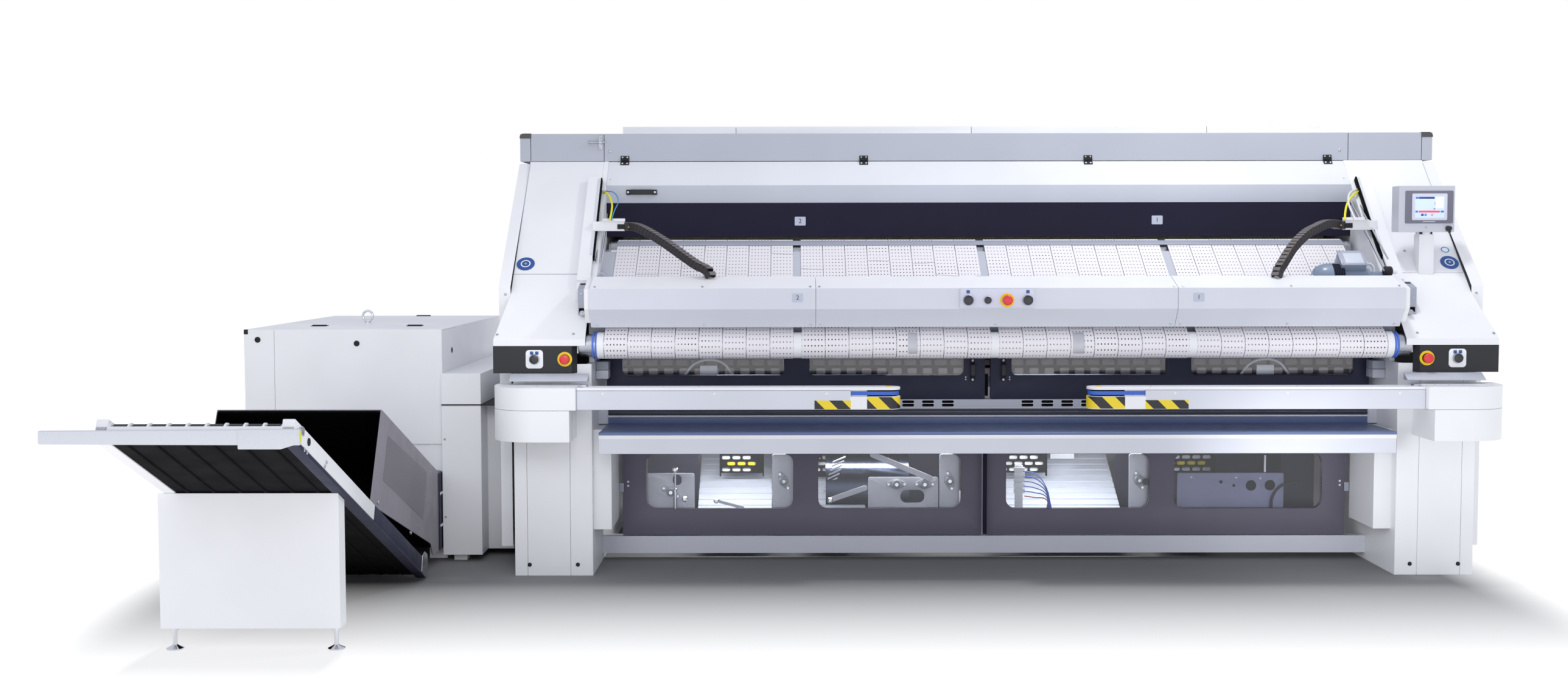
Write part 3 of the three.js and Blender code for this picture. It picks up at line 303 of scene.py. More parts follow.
def rounded_edges(shape, radius, segments=2, sharper_than=FOLD_ANGLE):
    """Rounds each edge that turns by more than an angle."""
    if radius:
        limit = math.radians(sharper_than)
        edges = [e for e in shape.edges if len(e.link_faces) == 2 and e.calc_face_angle() > limit]
        bmesh.ops.bevel(
            shape, geom=edges, offset=radius, segments=segments, profile=0.5, affect="EDGES",
            material=-1, clamp_overlap=True,
        )
    return shape


def block(x, y, z, radius=0.0, segments=2):
    """A box from (low, high) pairs."""
    shape = bmesh.new()
    bmesh.ops.create_cube(shape, size=1.0)
    sizes = Vector([high - low for low, high in (x, y, z)])
    middle = Vector([(high + low) / 2 for low, high in (x, y, z)])
    moved(shape, Matrix.Translation(middle) @ Matrix.Diagonal((*sizes, 1)))
    return rounded_edges(shape, radius, segments)


def pushed(shape, faces, axis, span, radius, segments, sharper_than):
    """Gives flat faces their thickness, from the start of the span to its end."""
    made = bmesh.ops.extrude_face_region(shape, geom=faces)["geom"]
    top = [item for item in made if isinstance(item, bmesh.types.BMVert)]
    bmesh.ops.translate(shape, verts=top, vec=AXES[axis] * (span[1] - span[0]))
    bmesh.ops.recalc_face_normals(shape, faces=shape.faces)
    return rounded_edges(shape, radius, segments, sharper_than)


def prism(axis, outline, span, radius=0.0, segments=2, sharper_than=FOLD_ANGLE):
    """An outline pushed along an axis: (Y, Z) points for x, (X, Z) for y and (X, Y) for z."""
    shape = bmesh.new()
    corners = [shape.verts.new(PLANES[axis](span[0], u, v)) for u, v in outline]
    return pushed(shape, [shape.faces.new(corners)], axis, span, radius, segments, sharper_than)


def plate(axis, outline, holes, span, radius=0.0, segments=2):
    """A plate with holes: the net of its outlines is filled, then pushed to its thickness."""
    shape = bmesh.new()
    net = []
    for loop in (outline, *holes):
        corners = [shape.verts.new(PLANES[axis](span[0], u, v)) for u, v in loop]
        net += [shape.edges.new((a, b)) for a, b in zip(corners, corners[1:] + corners[:1])]
    bmesh.ops.triangle_fill(shape, use_beauty=True, use_dissolve=False, edges=net)
    return pushed(shape, list(shape.faces), axis, span, radius, segments, 60)


def arc(centre, radius, start, end, steps):
    """Points on an arc, in degrees."""
    angles = [math.radians(start + (end - start) * i / steps) for i in range(steps + 1)]
    return [(centre[0] + radius * math.cos(a), centre[1] + radius * math.sin(a)) for a in angles]


def rounded_rectangle(u, v, radius, steps=5):
    """The outline of a rectangle with round corners, from (low, high) pairs."""
    corners = [
        ((u[1] - radius, v[1] - radius), 0),
        ((u[0] + radius, v[1] - radius), 90),
        ((u[0] + radius, v[0] + radius), 180),
        ((u[1] - radius, v[0] + radius), 270),
    ]
    return [
        point
        for centre, start in corners
        for point in arc(centre, radius, start, start + 90, steps)
    ]


def turned(axis, profile, centre, steps=32):
    """A profile of (place along the axis, radius), spun all the way round."""
    shape = bmesh.new()
    spots = [shape.verts.new(PLANES["x"](along, radius, 0)) for along, radius in profile]
    edges = [shape.edges.new(pair) for pair in zip(spots, spots[1:])]
    bmesh.ops.spin(
        shape, geom=spots + edges, cent=(0, 0, 0), axis=AXES["x"], angle=2 * math.pi, steps=steps,
        use_merge=True,
    )
    bmesh.ops.remove_doubles(shape, verts=shape.verts, dist=1e-3)
    turn = {
        "x": Matrix(), "y": Matrix.Rotation(math.pi / 2, 4, "Z"),
        "z": Matrix.Rotation(-math.pi / 2, 4, "Y"),
    }
    moved(shape, Matrix.Translation(PLANES[axis](0, *centre)) @ turn[axis])
    bmesh.ops.recalc_face_normals(shape, faces=shape.faces)
    return shape


def rod(axis, radius, span, centre, steps=24, soft=0.0):
    """A round bar, with its two ends softened."""
    soft = min(soft, radius * 0.5)
    low, high = span
    edges = [(low + soft, radius), (high - soft, radius)]
    if soft:
        edges = [(low, radius - soft), *edges, (high, radius - soft)]
    return turned(axis, [(low, 0), *edges, (high, 0)], centre, steps)


def stud(axis, face, out, steps, centre, sides=24):
    """A turned part on a face. steps are its (height over the face, radius)."""
    return turned(axis, [(face + out * rise, radius) for rise, radius in steps], centre, sides)


# %% [markdown]
# ## From a shape to a piece of the machine
#
# A finished piece has a place in the frame, a material, a body that carries it and, where it stands
# for a solid, that solid's name. Sheet steel is never razor sharp, so a bevel of a millimetre or
# two follows most edges and catches the light.

# %% Finishing
SHARP_ANGLE = math.radians(32)
body_of_node = {
    node: body for body, nodes in frame["record"]["behaviour"]["bodies"].items() for node in nodes
}


def piece(name, shape, material, body="root", replaces=(), soften=0.0, segments=2):
    """Makes a piece from a shape in millimetres. soften is the radius of its edges."""
    moved(shape, TO_FRAME)
    mesh = bpy.data.meshes.new(name)
    shape.to_mesh(mesh)
    shape.free()
    mesh.shade_smooth()
    mesh.set_sharp_from_angle(angle=SHARP_ANGLE)
    mesh.materials.append(material)
    made = bpy.data.objects.new(name, mesh)
    bpy.context.scene.collection.objects.link(made)
    if soften:
        bevel = made.modifiers.new("edges", "BEVEL")
        bevel.width = soften * MILLIMETRE
        bevel.segments = segments
        bevel.limit_method = "ANGLE"
        bevel.angle_limit = math.radians(FOLD_ANGLE)
        bevel.harden_normals = True
    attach(made, body)
    if replaces:
        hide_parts(*replaces)
    return made


def split_at(shape, point, normal, width):
    """Cuts a shape in two at a plane and leaves a seam of that width, with closed ends."""
    spare = bpy.data.meshes.new("spare")
    shape.to_mesh(spare)
    halves = []
    for side in (-1, 1):
        half = bmesh.new()
        half.from_mesh(spare)
        at = Vector(point) + Vector(normal) * side * width / 2
        cut = bmesh.ops.bisect_plane(
            half, geom=[*half.verts, *half.edges, *half.faces], plane_co=at, plane_no=normal,
            clear_outer=side < 0, clear_inner=side > 0,
        )["geom_cut"]
        bmesh.ops.holes_fill(
            half, edges=[g for g in cut if isinstance(g, bmesh.types.BMEdge)], sides=0
        )
        halves.append(half)
    bpy.data.meshes.remove(spare)
    shape.free()
    return merged(*halves)


def copy_of(node):
    """A solid's shape in millimetres, with its loose triangles merged into clean faces."""
    shape = bmesh.new()
    shape.from_mesh(frame["nodes"][node].data)
    moved(shape, TO_FRAME.inverted())
    bmesh.ops.remove_doubles(shape, verts=shape.verts, dist=0.01)
    bmesh.ops.dissolve_limit(
        shape, angle_limit=math.radians(0.5), use_dissolve_boundaries=False, verts=shape.verts,
        edges=shape.edges,
    )
    return shape


def dress(node, material, soften=1.5, seams=(), seam_width=2.0, segments=2):
    """A solid with softened edges, its seams and its finish."""
    shape = copy_of(node)
    for point, normal in seams:
        shape = split_at(shape, point, normal, seam_width)
    return piece(
        node + "_finished", shape, material, body_of_node[node], [node], soften, segments
    )


# %% [markdown]
# Fasteners and cables come many times over. A screw head is a short turned profile with a socket in
# its middle, kept to a few dozen faces, and all heads on one body are one piece. A cable is a curve
# through the points where it is clipped.

# %% Screws and cables
FACING = {
    "front": Matrix.Rotation(math.radians(90), 4, "X"),
    "back": Matrix.Rotation(math.radians(-90), 4, "X"),
    "up": Matrix(),
    "slope": Matrix.Rotation(math.radians(45), 4, "X"),
    "left": Matrix.Rotation(math.radians(-90), 4, "Y"),
    "right": Matrix.Rotation(math.radians(90), 4, "Y"),
}


# A head's height and radius, as parts of its radius
HEAD = ((-0.2, 0), (-0.2, 1), (0.25, 1), (0.5, 0.72), (0.5, 0.42), (0.15, 0.36), (0.15, 0))


def screws(name, spots, material, body="root", radius=6.0, sides=12):
    """Screw heads at (x, y, z, facing)."""
    head = turned("z", [(rise * radius, part * radius) for rise, part in HEAD], (0, 0), sides)
    one = bpy.data.meshes.new("head")
    head.to_mesh(one)
    head.free()
    shape = bmesh.new()
    for x, y, z, facing in spots:
        known = len(shape.verts)
        shape.from_mesh(one)
        shape.verts.ensure_lookup_table()
        place = Matrix.Translation((x, y, z)) @ FACING[facing]
        bmesh.ops.transform(shape, matrix=place, verts=shape.verts[known:])
    bpy.data.meshes.remove(one)
    return piece(name, shape, material, body)


def cable(name, points, radius, material, body="root", sides=8):
    """A cable of one radius along a smooth curve through its points, with closed ends."""
    curve = bpy.data.curves.new(name, "CURVE")
    curve.dimensions = "3D"
    spline = curve.splines.new("BEZIER")
    spline.bezier_points.add(len(points) - 1)
    for knot, point in zip(spline.bezier_points, points):
        knot.co = TO_FRAME @ Vector(point)
        knot.handle_left_type = knot.handle_right_type = "AUTO"
    spline.resolution_u = 6
    curve.bevel_depth = radius * MILLIMETRE
    curve.bevel_resolution = max(1, sides // 4)
    curve.use_fill_caps = True
    curve.materials.append(material)
    made = bpy.data.objects.new(name, curve)
    bpy.context.scene.collection.objects.link(made)
    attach(made, body)
    return made

# %% [markdown]
# ## Painted steel
#
# Nearly everything that shows is sheet steel with a polyester powder coat. The powder melts to a
# satin skin with a faint orange peel about a millimetre wide. That is too fine for the picture, so
# it is drawn at 5 mm. The colour also drifts a little from panel to panel.

# %% Powder coat
# Where a noise has most of its values, and the grain of the coat's patches and smudges
NOISE_SPAN = (0.3, 0.7)
PATCH_MM, SMUDGE_MM = 420, 90


def principled(material, **values):
    names = {
        name.replace("_", " ").title().replace("Ior", "IOR"): value
        for name, value in values.items()
    }
    return add(material, "BsdfPrincipled", names)


def pattern(material, scale_mm, detail=2.0, stretch=(1, 1, 1)):
    """A noise on the piece's own coordinates, with grains of about that size in millimetres."""
    place = add(material, "TexCoord")
    across = tuple(1 / (scale_mm * MILLIMETRE * s) for s in stretch)
    scaled = add(material, "Mapping", {"Scale": across}, {"Vector": place.outputs["Object"]})
    settings = {"Scale": 1.0, "Detail": detail}
    return add(material, "TexNoise", settings, {"Vector": scaled.outputs[0]})


def between(material, factor, low, high, low_at=0.0, high_at=1.0):
    """Two colours, mixed by a factor that is first stretched to a range."""
    spread = add(
        material, "MapRange", {"From Min": low_at, "From Max": high_at}, {"Value": factor},
        clamp=True
    )
    mixed = add(material, "Mix", links={"Factor": spread.outputs[0]}, data_type="RGBA")
    mixed.inputs[6].default_value = low
    mixed.inputs[7].default_value = high
    return mixed.outputs[2]


def bumped(material, shader, height, depth_mm, strength=1.0):
    bump = add(
        material, "Bump", {"Strength": strength, "Distance": depth_mm * MILLIMETRE},
        {"Height": height}
    )
    join(material, bump.outputs[0], shader.inputs["Normal"])


def shade(hex_colour, amount):
    """The same colour, a little darker or lighter."""
    return (*(min(1.0, part * (1 + amount)) for part in linear(hex_colour)[:3]), 1.0)


def tinted(material, shader, noise, colour, darker, lighter):
    """Lets the colour drift with a noise."""
    tint = between(
        material, noise.outputs[0], shade(colour, -darker), shade(colour, lighter), *NOISE_SPAN
    )
    join(material, tint, shader.inputs["Base Color"])


def glossed(material, shader, noise, smooth, rough):
    """Lets the roughness drift with a noise."""
    low, high = NOISE_SPAN
    ends = {"From Min": low, "From Max": high, "To Min": smooth, "To Max": rough}
    gloss = add(material, "MapRange", ends, {"Value": noise.outputs[0]})
    join(material, gloss.outputs[0], shader.inputs["Roughness"])


def powder_coat(name, slot, colour, roughness=0.4, peel_mm=5.0, drift=0.03, ior=1.5):
    material, output = blank(name, slot)
    shader = principled(material, roughness=roughness, ior=ior)
    tinted(material, shader, pattern(material, PATCH_MM, 3), colour, drift, drift)
    smudges = pattern(material, SMUDGE_MM, 4)
    glossed(material, shader, smudges, roughness - 0.05, roughness + 0.07)
    peel = pattern(material, peel_mm, 1)
    bumped(material, shader, peel.outputs[0], 0.12, 0.35)
    return surface(material, output, shader)


WHITE = powder_coat("white_powder_coat", "white_paint", "#ECEDF0", 0.38)
# A darker copy of the white paint: painted shade on the hood's slope, which the key lamp lights
# most
HOOD_SHADE_WHITE = powder_coat("hood_painted_shade_coat", "white_paint", "#DDDFE5", 0.38)
# A darker copy of the white paint: painted shade on the beam, the arm covers, the shelf and the
# door frame
SHADED_WHITE = powder_coat("painted_shade_white_coat", "white_paint", "#D3D6E0", 0.38)
PALE_GREY = powder_coat("pale_grey_powder_coat", "grey_paint", "#C0C4CF", 0.36)
FASCIA_GREY = powder_coat("light_grey_powder_coat", "grey_paint", "#B2B6C2", 0.36)
MID_GREY = powder_coat("mid_grey_powder_coat", "grey_paint", "#A3A8B6", 0.4)
CHARCOAL = powder_coat(
    "charcoal_powder_coat", "charcoal_paint", "#2E3044", 0.5, drift=0.05, ior=1.3
)
# Blue-black paint on the air guide panel, and painted shade on the dark sheets inside the machine
BLUE_BLACK_AND_SHADE = powder_coat(
    "blue_black_paint_and_painted_shade", "charcoal_paint", "#232234", 0.55, drift=0.05, ior=1.2
)
DOOR_BROWN = powder_coat(
    "door_grey_powder_coat", "door_paint", "#6B6776", 0.42, drift=0.04, ior=1.35
)
RAIL_BLUE = powder_coat("dark_blue_rail_coat", "charcoal_paint", "#2B2E42", 0.4)
SHELF_BLUE = powder_coat("blue_grey_worktop_coat", "grey_paint", "#66749A", 0.36, 6.0, ior=1.4)
# Near black: black paint on small inner parts, and painted shade inside the tunnel and behind the
# sill's slots
DARK_INSIDE = powder_coat("near_black_and_painted_shade", "charcoal_paint", "#09090B", 0.7, ior=1.15)
SLATE_COAT = powder_coat("slate_powder_coat", "charcoal_paint", "#8082A0", 0.45)
MOTOR_GREY = powder_coat("motor_enamel", "grey_paint", "#8493A8", 0.3, 3.0)

# %% [markdown]
# ## Bare metal
#
# Rollers are turned, so fine rings run round them. Rails are extruded and anodised, which draws
# long lines along them. Polished rods only mirror the room. Each has the same shader with a streak
# pattern that is stretched along the way the tool went.

# %% Metals
def metal(
    name, colour, roughness, streak_mm=(0, 0, 0), depth=0.02, slot="steel", drift=0.08, metallic=1.0
):
    """streak_mm gives the grain along X, Y and Z. Nought leaves the metal without streaks."""
    material, output = blank(name, slot)
    shader = principled(material, base_color=linear(colour), metallic=metallic, roughness=roughness)
    if any(streak_mm):
        lines = pattern(material, 1.0, 3, streak_mm)
        tinted(material, shader, lines, colour, drift, drift)
        glossed(material, shader, lines, roughness * 0.8, roughness * 1.25)
        bumped(material, shader, lines.outputs[0], depth, 0.5)
    return surface(material, output, shader)


TURNED_STEEL = metal("turned_steel", "#B4B6BD", 0.3, (2.5, 400, 400))
BRUSHED_STEEL = metal("brushed_stainless_steel", "#BFC2C8", 0.34, (300, 300, 3))
ANODISED = metal("anodised_aluminium", "#E0E3EA", 0.42, (600, 4, 4), metallic=0.4)
RIBBED_ALUMINIUM = metal("satin_anodised_profile", "#E6EBF4", 0.45, (600, 5, 5), metallic=0.35)
SATIN_STEEL = metal("satin_coated_plate", "#C2C3CA", 0.42, (60, 60, 60), metallic=0.3)
DARK_STEEL = metal("blued_steel_sheet", "#4A5060", 0.22, (4, 300, 300))
CHROME = metal("chromed_bar", "#DADCE2", 0.08)
ZINC = metal("zinc_plated_steel", "#B9BCC4", 0.36, (14, 14, 14), 0.03)
CAST = metal("cast_aluminium", "#A9ACB2", 0.5, (3, 3, 3), 0.15)

# %% [markdown]
# ## Plastics, rubber and glass
#
# Switch boxes are moulded with a fine spark-eroded texture. Mushroom heads are glossy. Panes are
# clear polycarbonate, thin enough that they need no bending of light, so a clear shader with a
# mirror at its edges is mixed by Fresnel.

# %% Plastics and panes
def plastic(name, slot, colour, roughness=0.45, grain_mm=2.0, depth=0.05, coat=0.0):
    material, output = blank(name, slot)
    shader = principled(
        material, base_color=linear(colour), roughness=roughness, ior=1.46, coat_weight=coat,
        coat_roughness=0.08,
    )
    specks = pattern(material, grain_mm, 2)
    tinted(material, shader, specks, colour, 0.05, 0.06)
    bumped(material, shader, specks.outputs[0], depth, 0.4)
    return surface(material, output, shader)


BLACK_ABS = plastic("black_moulded_abs", "black_plastic", "#232429", 0.5)
SOFT_BLACK = plastic("black_rubber", "black_plastic", "#1B1B1F", 0.7, 3.0, 0.1)
BLACK_CAP = plastic("black_button_cap", "black_plastic", "#22232C", 0.3, 1.5, 0.02, 0.3)
RED_CAP = plastic("red_mushroom_head", "red_plastic", "#DE2B33", 0.3, 1.5, 0.02, 0.4)
YELLOW_DISC = plastic("yellow_switch_collar", "red_plastic", "#F2D21C", 0.4)
BLUE_DISC = plastic("blue_enamel_disc", "black_plastic", "#1F4E96", 0.35, 1.5, 0.02, 0.2)
BLUE_BAND = plastic("blue_drive_band", "black_plastic", "#4F74D6", 0.5, 2.5, 0.08)
BLUE_BELT = plastic("blue_polyurethane_belt", "black_plastic", "#3A66C4", 0.45, 2.5, 0.08)
WHITE_ABS = plastic("white_moulded_abs", "white_paint", "#EEEFF2", 0.4)
CHAIN_BROWN = plastic("glass_filled_nylon", "black_plastic", "#2C282B", 0.5, 2.0, 0.08)
CHAIN_GREY = plastic("dusty_nylon", "black_plastic", "#6E696A", 0.55, 2.0, 0.08)
YELLOW_CABLE = plastic("yellow_pvc_sheath", "red_plastic", "#E6E01F", 0.4)
BLUE_CABLE = plastic("blue_air_hose", "black_plastic", "#3C8FC4", 0.35)
RED_CABLE = plastic("red_wire", "red_plastic", "#C8322E", 0.4)
GREY_CABLE = plastic("pale_grey_hose", "white_paint", "#D8DADF", 0.4)
LABEL = plastic("pale_printed_plate", "white_paint", "#BCC1D2", 0.45, 1.0, 0.01)
LILAC_PLATE = plastic("lilac_grey_foil", "white_paint", "#D3D4E4", 0.4, 1.0, 0.01)
INK = plastic("dark_print", "black_plastic", "#1B1F2B", 0.5)
SCRAPER = plastic("grey_rubber_scraper", "black_plastic", "#A5999B", 0.6)
# The same rubber, darker: painted shade on the upper row of pads, under the window's top
SCRAPER_SHADE = plastic("scraper_rubber_painted_shade", "black_plastic", "#6A605F", 0.6)
TERMINAL_FACE = plastic("grey_panel_laminate", "white_paint", "#C8CEDB", 0.4)


def pane(name):
    material, output = blank(name, "black_plastic")
    clear = add(material, "BsdfTransparent", {"Color": (0.93, 0.94, 0.96, 1)})
    mirror = add(material, "BsdfGlossy", {"Color": (1, 1, 1, 1), "Roughness": 0.03})
    edge = add(material, "Fresnel", {"IOR": 1.45})
    both = add(
        material, "MixShader", links={0: edge.outputs[0], 1: clear.outputs[0], 2: mirror.outputs[0]}
    )
    return surface(material, output, both)


CLEAR_PANE = pane("clear_polycarbonate")

# %% [markdown]
# ## Belts, felt and warning tape
#
# A feed belt is a white polyester weave with rows of holes, through which the table sucks the linen
# flat. Its UV map holds millimetres across and along, so holes and weave follow it round the
# rollers. The holes stand 14.3 mm apart across and 26 mm along. What lies under them decides how
# dark they are: the plate of the suction box is pale, its slots are dark.

# %% Belt weave
HOLE_PITCH = (14.3, 26.0)
HOLE_HALF = (2.7, 3.6)


def wrapped(material, value, pitch):
    """Where a value lies within its pitch, from the middle of it."""
    turns = add(material, "Math", {1: pitch}, {0: value}, operation="WRAP")
    turns.inputs[2].default_value = 0.0
    middle = add(material, "Math", {1: pitch / 2}, {0: turns.outputs[0]}, operation="SUBTRACT")
    return middle.outputs[0]


def perforated_belt(name, colour):
    material, output = blank(name, "belt_fabric")
    shader = principled(material, roughness=0.62, ior=1.45)
    cloth = add(material, "UVMap", uv_map="cloth")
    parts = add(material, "SeparateXYZ", links={0: cloth.outputs[0]})
    distances = []
    for side, pitch, half in zip(("X", "Y"), HOLE_PITCH, HOLE_HALF):
        off = wrapped(material, parts.outputs[side], pitch)
        distances.append(add(material, "Math", {1: half}, {0: off}, operation="DIVIDE").outputs[0])
    off_centre = add(material, "CombineXYZ", links={0: distances[0], 1: distances[1]})
    far = add(material, "VectorMath", links={0: off_centre.outputs[0]}, operation="LENGTH")
    hole = add(
        material, "MapRange", {"From Min": 1.12, "From Max": 0.88}, {"Value": far.outputs["Value"]},
        clamp=True
    )
    beneath = pattern(material, 240, 1, (1.2, 0.8, 1))
    depth = between(material, beneath.outputs[0], linear("#2E2A36"), linear("#8C8C98"), 0.4, 0.47)
    weave = pattern(material, 3.0, 1)
    thread = between(
        material, weave.outputs[0], shade(colour, -0.03), shade(colour, 0.03), 0.35, 0.65
    )
    mixed = add(material, "Mix", links={"Factor": hole.outputs[0]}, data_type="RGBA")
    for source, target in (
        (thread, mixed.inputs[6]), (depth, mixed.inputs[7]),
        (mixed.outputs[2], shader.inputs["Base Color"]),
    ):
        join(material, source, target)
    rise = add(material, "Math", {1: -1.6}, {0: hole.outputs[0]}, operation="MULTIPLY")
    height = add(material, "Math", links={0: rise.outputs[0], 1: weave.outputs[0]}, operation="ADD")
    bumped(material, shader, height.outputs[0], 0.3, 0.5)
    return surface(material, output, shader)


BELT_CLOTH = perforated_belt("perforated_polyester_belt", "#EDEAEE")


def felt(name, colour):
    """Needle felt: a dull wool pad, cloudy and hairy."""
    material, output = blank(name, "roll_padding")
    shader = principled(material, roughness=0.95, sheen_weight=0.3, sheen_roughness=0.6)
    fibres = pattern(material, 6, 5, (3, 1, 1))
    tinted(material, shader, fibres, colour, 0.15, 0.1)
    bumped(material, shader, fibres.outputs[0], 0.8, 0.6)
    return surface(material, output, shader)


FELT = felt("needle_felt_padding", "#D6D0C0")

STRIPE_PITCH = 108.0


def hazard_tape(name):
    """Yellow and black tape. Its stripes rise to the left at 45 degrees."""
    material, output = blank(name, "red_plastic")
    shader = principled(material, roughness=0.35, ior=1.5)
    place = add(material, "TexCoord")
    parts = add(material, "SeparateXYZ", links={0: place.outputs["Object"]})
    across = add(
        material, "Math", links={0: parts.outputs["X"], 1: parts.outputs["Z"]}, operation="ADD"
    )
    off = wrapped(material, across.outputs[0], STRIPE_PITCH * MILLIMETRE)
    yellow_here = add(material, "Math", {1: 0.0}, {0: off}, operation="GREATER_THAN")
    tint = between(material, yellow_here.outputs[0], linear("#1E1B22"), linear("#EDD21E"))
    join(material, tint, shader.inputs["Base Color"])
    scuffs = pattern(material, 8, 4)
    bumped(material, shader, scuffs.outputs[0], 0.05, 0.3)
    return surface(material, output, shader)


HAZARD_TAPE = hazard_tape("hazard_tape")
print("finishes:", len(bpy.data.materials))

# %% [markdown]
# ## Top of the machine
#
# The grey fascia is a folded channel in three lengths. Its ends are closed by upright strips with a
# round black cap. Behind it lies the roof, with the raised housing of the exhaust in its middle. A
# seam is a real cut through the sheet, 2 mm wide, so that it stays dark from every side.

# %% Fascia, roof and back
SIDES = (("left", -1), ("right", 1))
SLOPE_TOP = fascia_low.z / MILLIMETRE
TOWER_SEAM = 1727
END_STRIP = 2068
ROOF_SEAMS = (-1120, 0, 1120)
BACK_SEAMS = (-1380, -690, 0, 690, 1380)
BACK_Y = 1054


def pivot_of(body):
    """A body's hinge in the machine's millimetres."""
    joint = next(j for j in frame["record"]["behaviour"]["joints"] if j["child"] == body)
    return TO_FRAME.inverted() @ Vector(joint["pos_m"])


def on_slope(x, y, proud=0.0):
    """A point on the sloped consoles, or a little over them."""
    rise = proud / math.sqrt(2)
    return Vector((x, y - rise, SLOPE_TOP + y + rise))


def slope_matrix(x, y, proud=0.0):
    """Takes a shape that lies on Z = 0 to a place on the slope."""
    return Matrix.Translation(on_slope(x, y, proud)) @ Matrix.Rotation(math.radians(45), 4, "X")


across = Vector((1, 0, 0))
dress(
    "fascia_beam", FASCIA_GREY, 2.0,
    [((sign * x, 0, 0), across) for x in (TOWER_SEAM, END_STRIP) for sign in (-1, 1)],
)
dress("roof_cover", WHITE, 3.0, [((x, 0, 0), across) for x in ROOF_SEAMS])
dress("back_cover", WHITE, 1.0, [((x, 0, 0), across) for x in BACK_SEAMS], 3.0)
CAP_GREY = plastic("dark_grey_end_cap", "black_plastic", "#4C494C", 0.35, 2.0)
for side, sign in SIDES:
    outer, inner = sign * 2119, sign * (END_STRIP - 3)
    cap_outline = [
        (inner, 1903), (inner, 1926), *arc((sign * 2101, 1908), 18, 90, 90 - sign * 90, 6),
        (outer, 1903),
    ]
    piece(f"fascia_cap_{side}", prism("y", cap_outline, (-3, 151)), CAP_GREY, soften=1.5)


def louvre(y, z, out, height, span, radius):
    """A pressed slit in a back sheet: a ridge that leans out and opens downwards."""
    return prism("x", [(y, z), (y + out, z + 2), (y, z + height)], span, radius)


louvres = [
    louvre(BACK_Y, 420 + 34 * row, 8, 20, (x - 130, x + 130), 1.0)
    for x in (-1750, -1035, 1035, 1750) for row in range(9)
]
piece("back_louvres", merged(*louvres), WHITE)
back_screws = [
    (x + 40 * s, BACK_Y + 0.5, z, "back")
    for x in BACK_SEAMS
    for s in (-1, 1)
    for z in (160, 950, 1740)
]
screws("back_screws", back_screws, ZINC)
roof_screws = [(x + 30 * s, y, 1968, "up") for x in ROOF_SEAMS for s in (-1, 1) for y in (240, 960)]
screws("roof_screws", roof_screws, ZINC)
print("roof and back in", len(ROOF_SEAMS) + 1, "lengths")

# %% [markdown]
# A sliding bolt holds the left end of the fascia. The hood hangs from four black hinges: one leaf
# on the fascia, one on the hood, and the pin between them on the hood's own axis.

# %% Bolt and hinges
BOLT_AXIS = (-9, 1884)
bolt_plate = prism("y", rounded_rectangle((-1752, -1734), (1850, 1918), 8), (-4, 0), 1.0)
bolt_bar = merged(
    rod("x", 4.5, (-1792, -1722), BOLT_AXIS, 16, 1.5),
    stud("x", -1800, 1, [(0, 0), (1, 5), (6, 7.5), (11, 5), (12, 0)], BOLT_AXIS, 16),
    block((-1750, -1736), (-15, -3), (1877, 1891), 2.0),
)
piece("fascia_bolt", merged(bolt_plate, bolt_bar), ZINC)
screws("fascia_bolt_screws", [(-1743, -4, z, "front") for z in (1860, 1908)], ZINC, radius=5)
screws("fascia_screws", [(x, 0, 1842, "front") for x in (-1700, 1688)], ZINC, radius=6)

HINGE_PLACES = (-1630, -521, 520, 1630)
HINGE_HALF = 20
upper_leaves = [
    block((x - HINGE_HALF, x + HINGE_HALF), (-3.5, 0), (1801, 1821), 1.0) for x in HINGE_PLACES
]
hood_line = pivot_of("hood")
pins = [
    rod("x", 4.5, (x - HINGE_HALF, x + HINGE_HALF), (hood_line.y, hood_line.z), 16, 1.0)
    for x in HINGE_PLACES
]
lower_leaves = [
    moved(block((-HINGE_HALF, HINGE_HALF), (-22, 2), (0.5, 4), 1.0), slope_matrix(x, -3))
    for x in HINGE_PLACES
]
piece("hinge_leaves_fascia", merged(*upper_leaves, *pins), SOFT_BLACK)
piece("hinge_leaves_hood", merged(*lower_leaves), SOFT_BLACK, "hood")
screws(
    "hinge_screws_fascia",
    [(x + s * 11, -3.5, 1814, "front") for x in HINGE_PLACES for s in (-1, 1)], ZINC, radius=4,
)
hood_leaf_screws = [
    (*on_slope(x + s * 11, -13, 4.0), "slope") for x in HINGE_PLACES for s in (-1, 1)
]
screws("hinge_screws_hood", hood_leaf_screws, WHITE_ABS, "hood", 4)

# %% [markdown]
# ## Hood, handle and the dark panel under it
#
# The hood is one folded sheet: a white slope, and a pale lip that hangs straight down. A moulded
# bar handle is screwed to the lip near its left end. The dark panel behind the lip guides the warm
# air, and carries a number plate for each feeding station.

# %% Hood
hood_low, hood_high = reach("hood")
HOOD_BEND = 1680
HOOD_SHEET = 4
hood_slope = prism(
    "x",
    [
        (hood_high.y, hood_high.z), (hood_low.y, HOOD_BEND),
        (hood_low.y + HOOD_SHEET, HOOD_BEND - 1), (hood_high.y, hood_high.z - 5),
    ],
    (hood_low.x, hood_high.x),
)
# The slope's darker white is painted shade
piece("hood_slope", hood_slope, HOOD_SHADE_WHITE, "hood", ["hood"], 1.2)
hood_lip = block(
    (hood_low.x, hood_high.x), (hood_low.y, hood_low.y + HOOD_SHEET), (hood_low.z, HOOD_BEND), 0.8
)
piece("hood_lip", hood_lip, PALE_GREY, "hood", ["hood"])

HANDLE_SPAN = (-1613, -1473)
HANDLE_HEIGHT = (1637, 1661)


def bar_handle(span, height, back, reach_out):
    """A moulded bar that stands off its two feet, drawn from above and pushed to its height."""
    left, right = span
    front, grip = back - reach_out, back - reach_out + 9
    outline = [
        (left, back), (left, back - 9), (left + 16, back - 12), (left + 24, front),
        (right - 24, front), (right - 16, back - 12), (right, back - 9), (right, back),
        (right - 19, back), (right - 26, grip), (left + 26, grip), (left + 19, back),
    ]
    return prism("z", outline, height, 2.0, 2, 12)


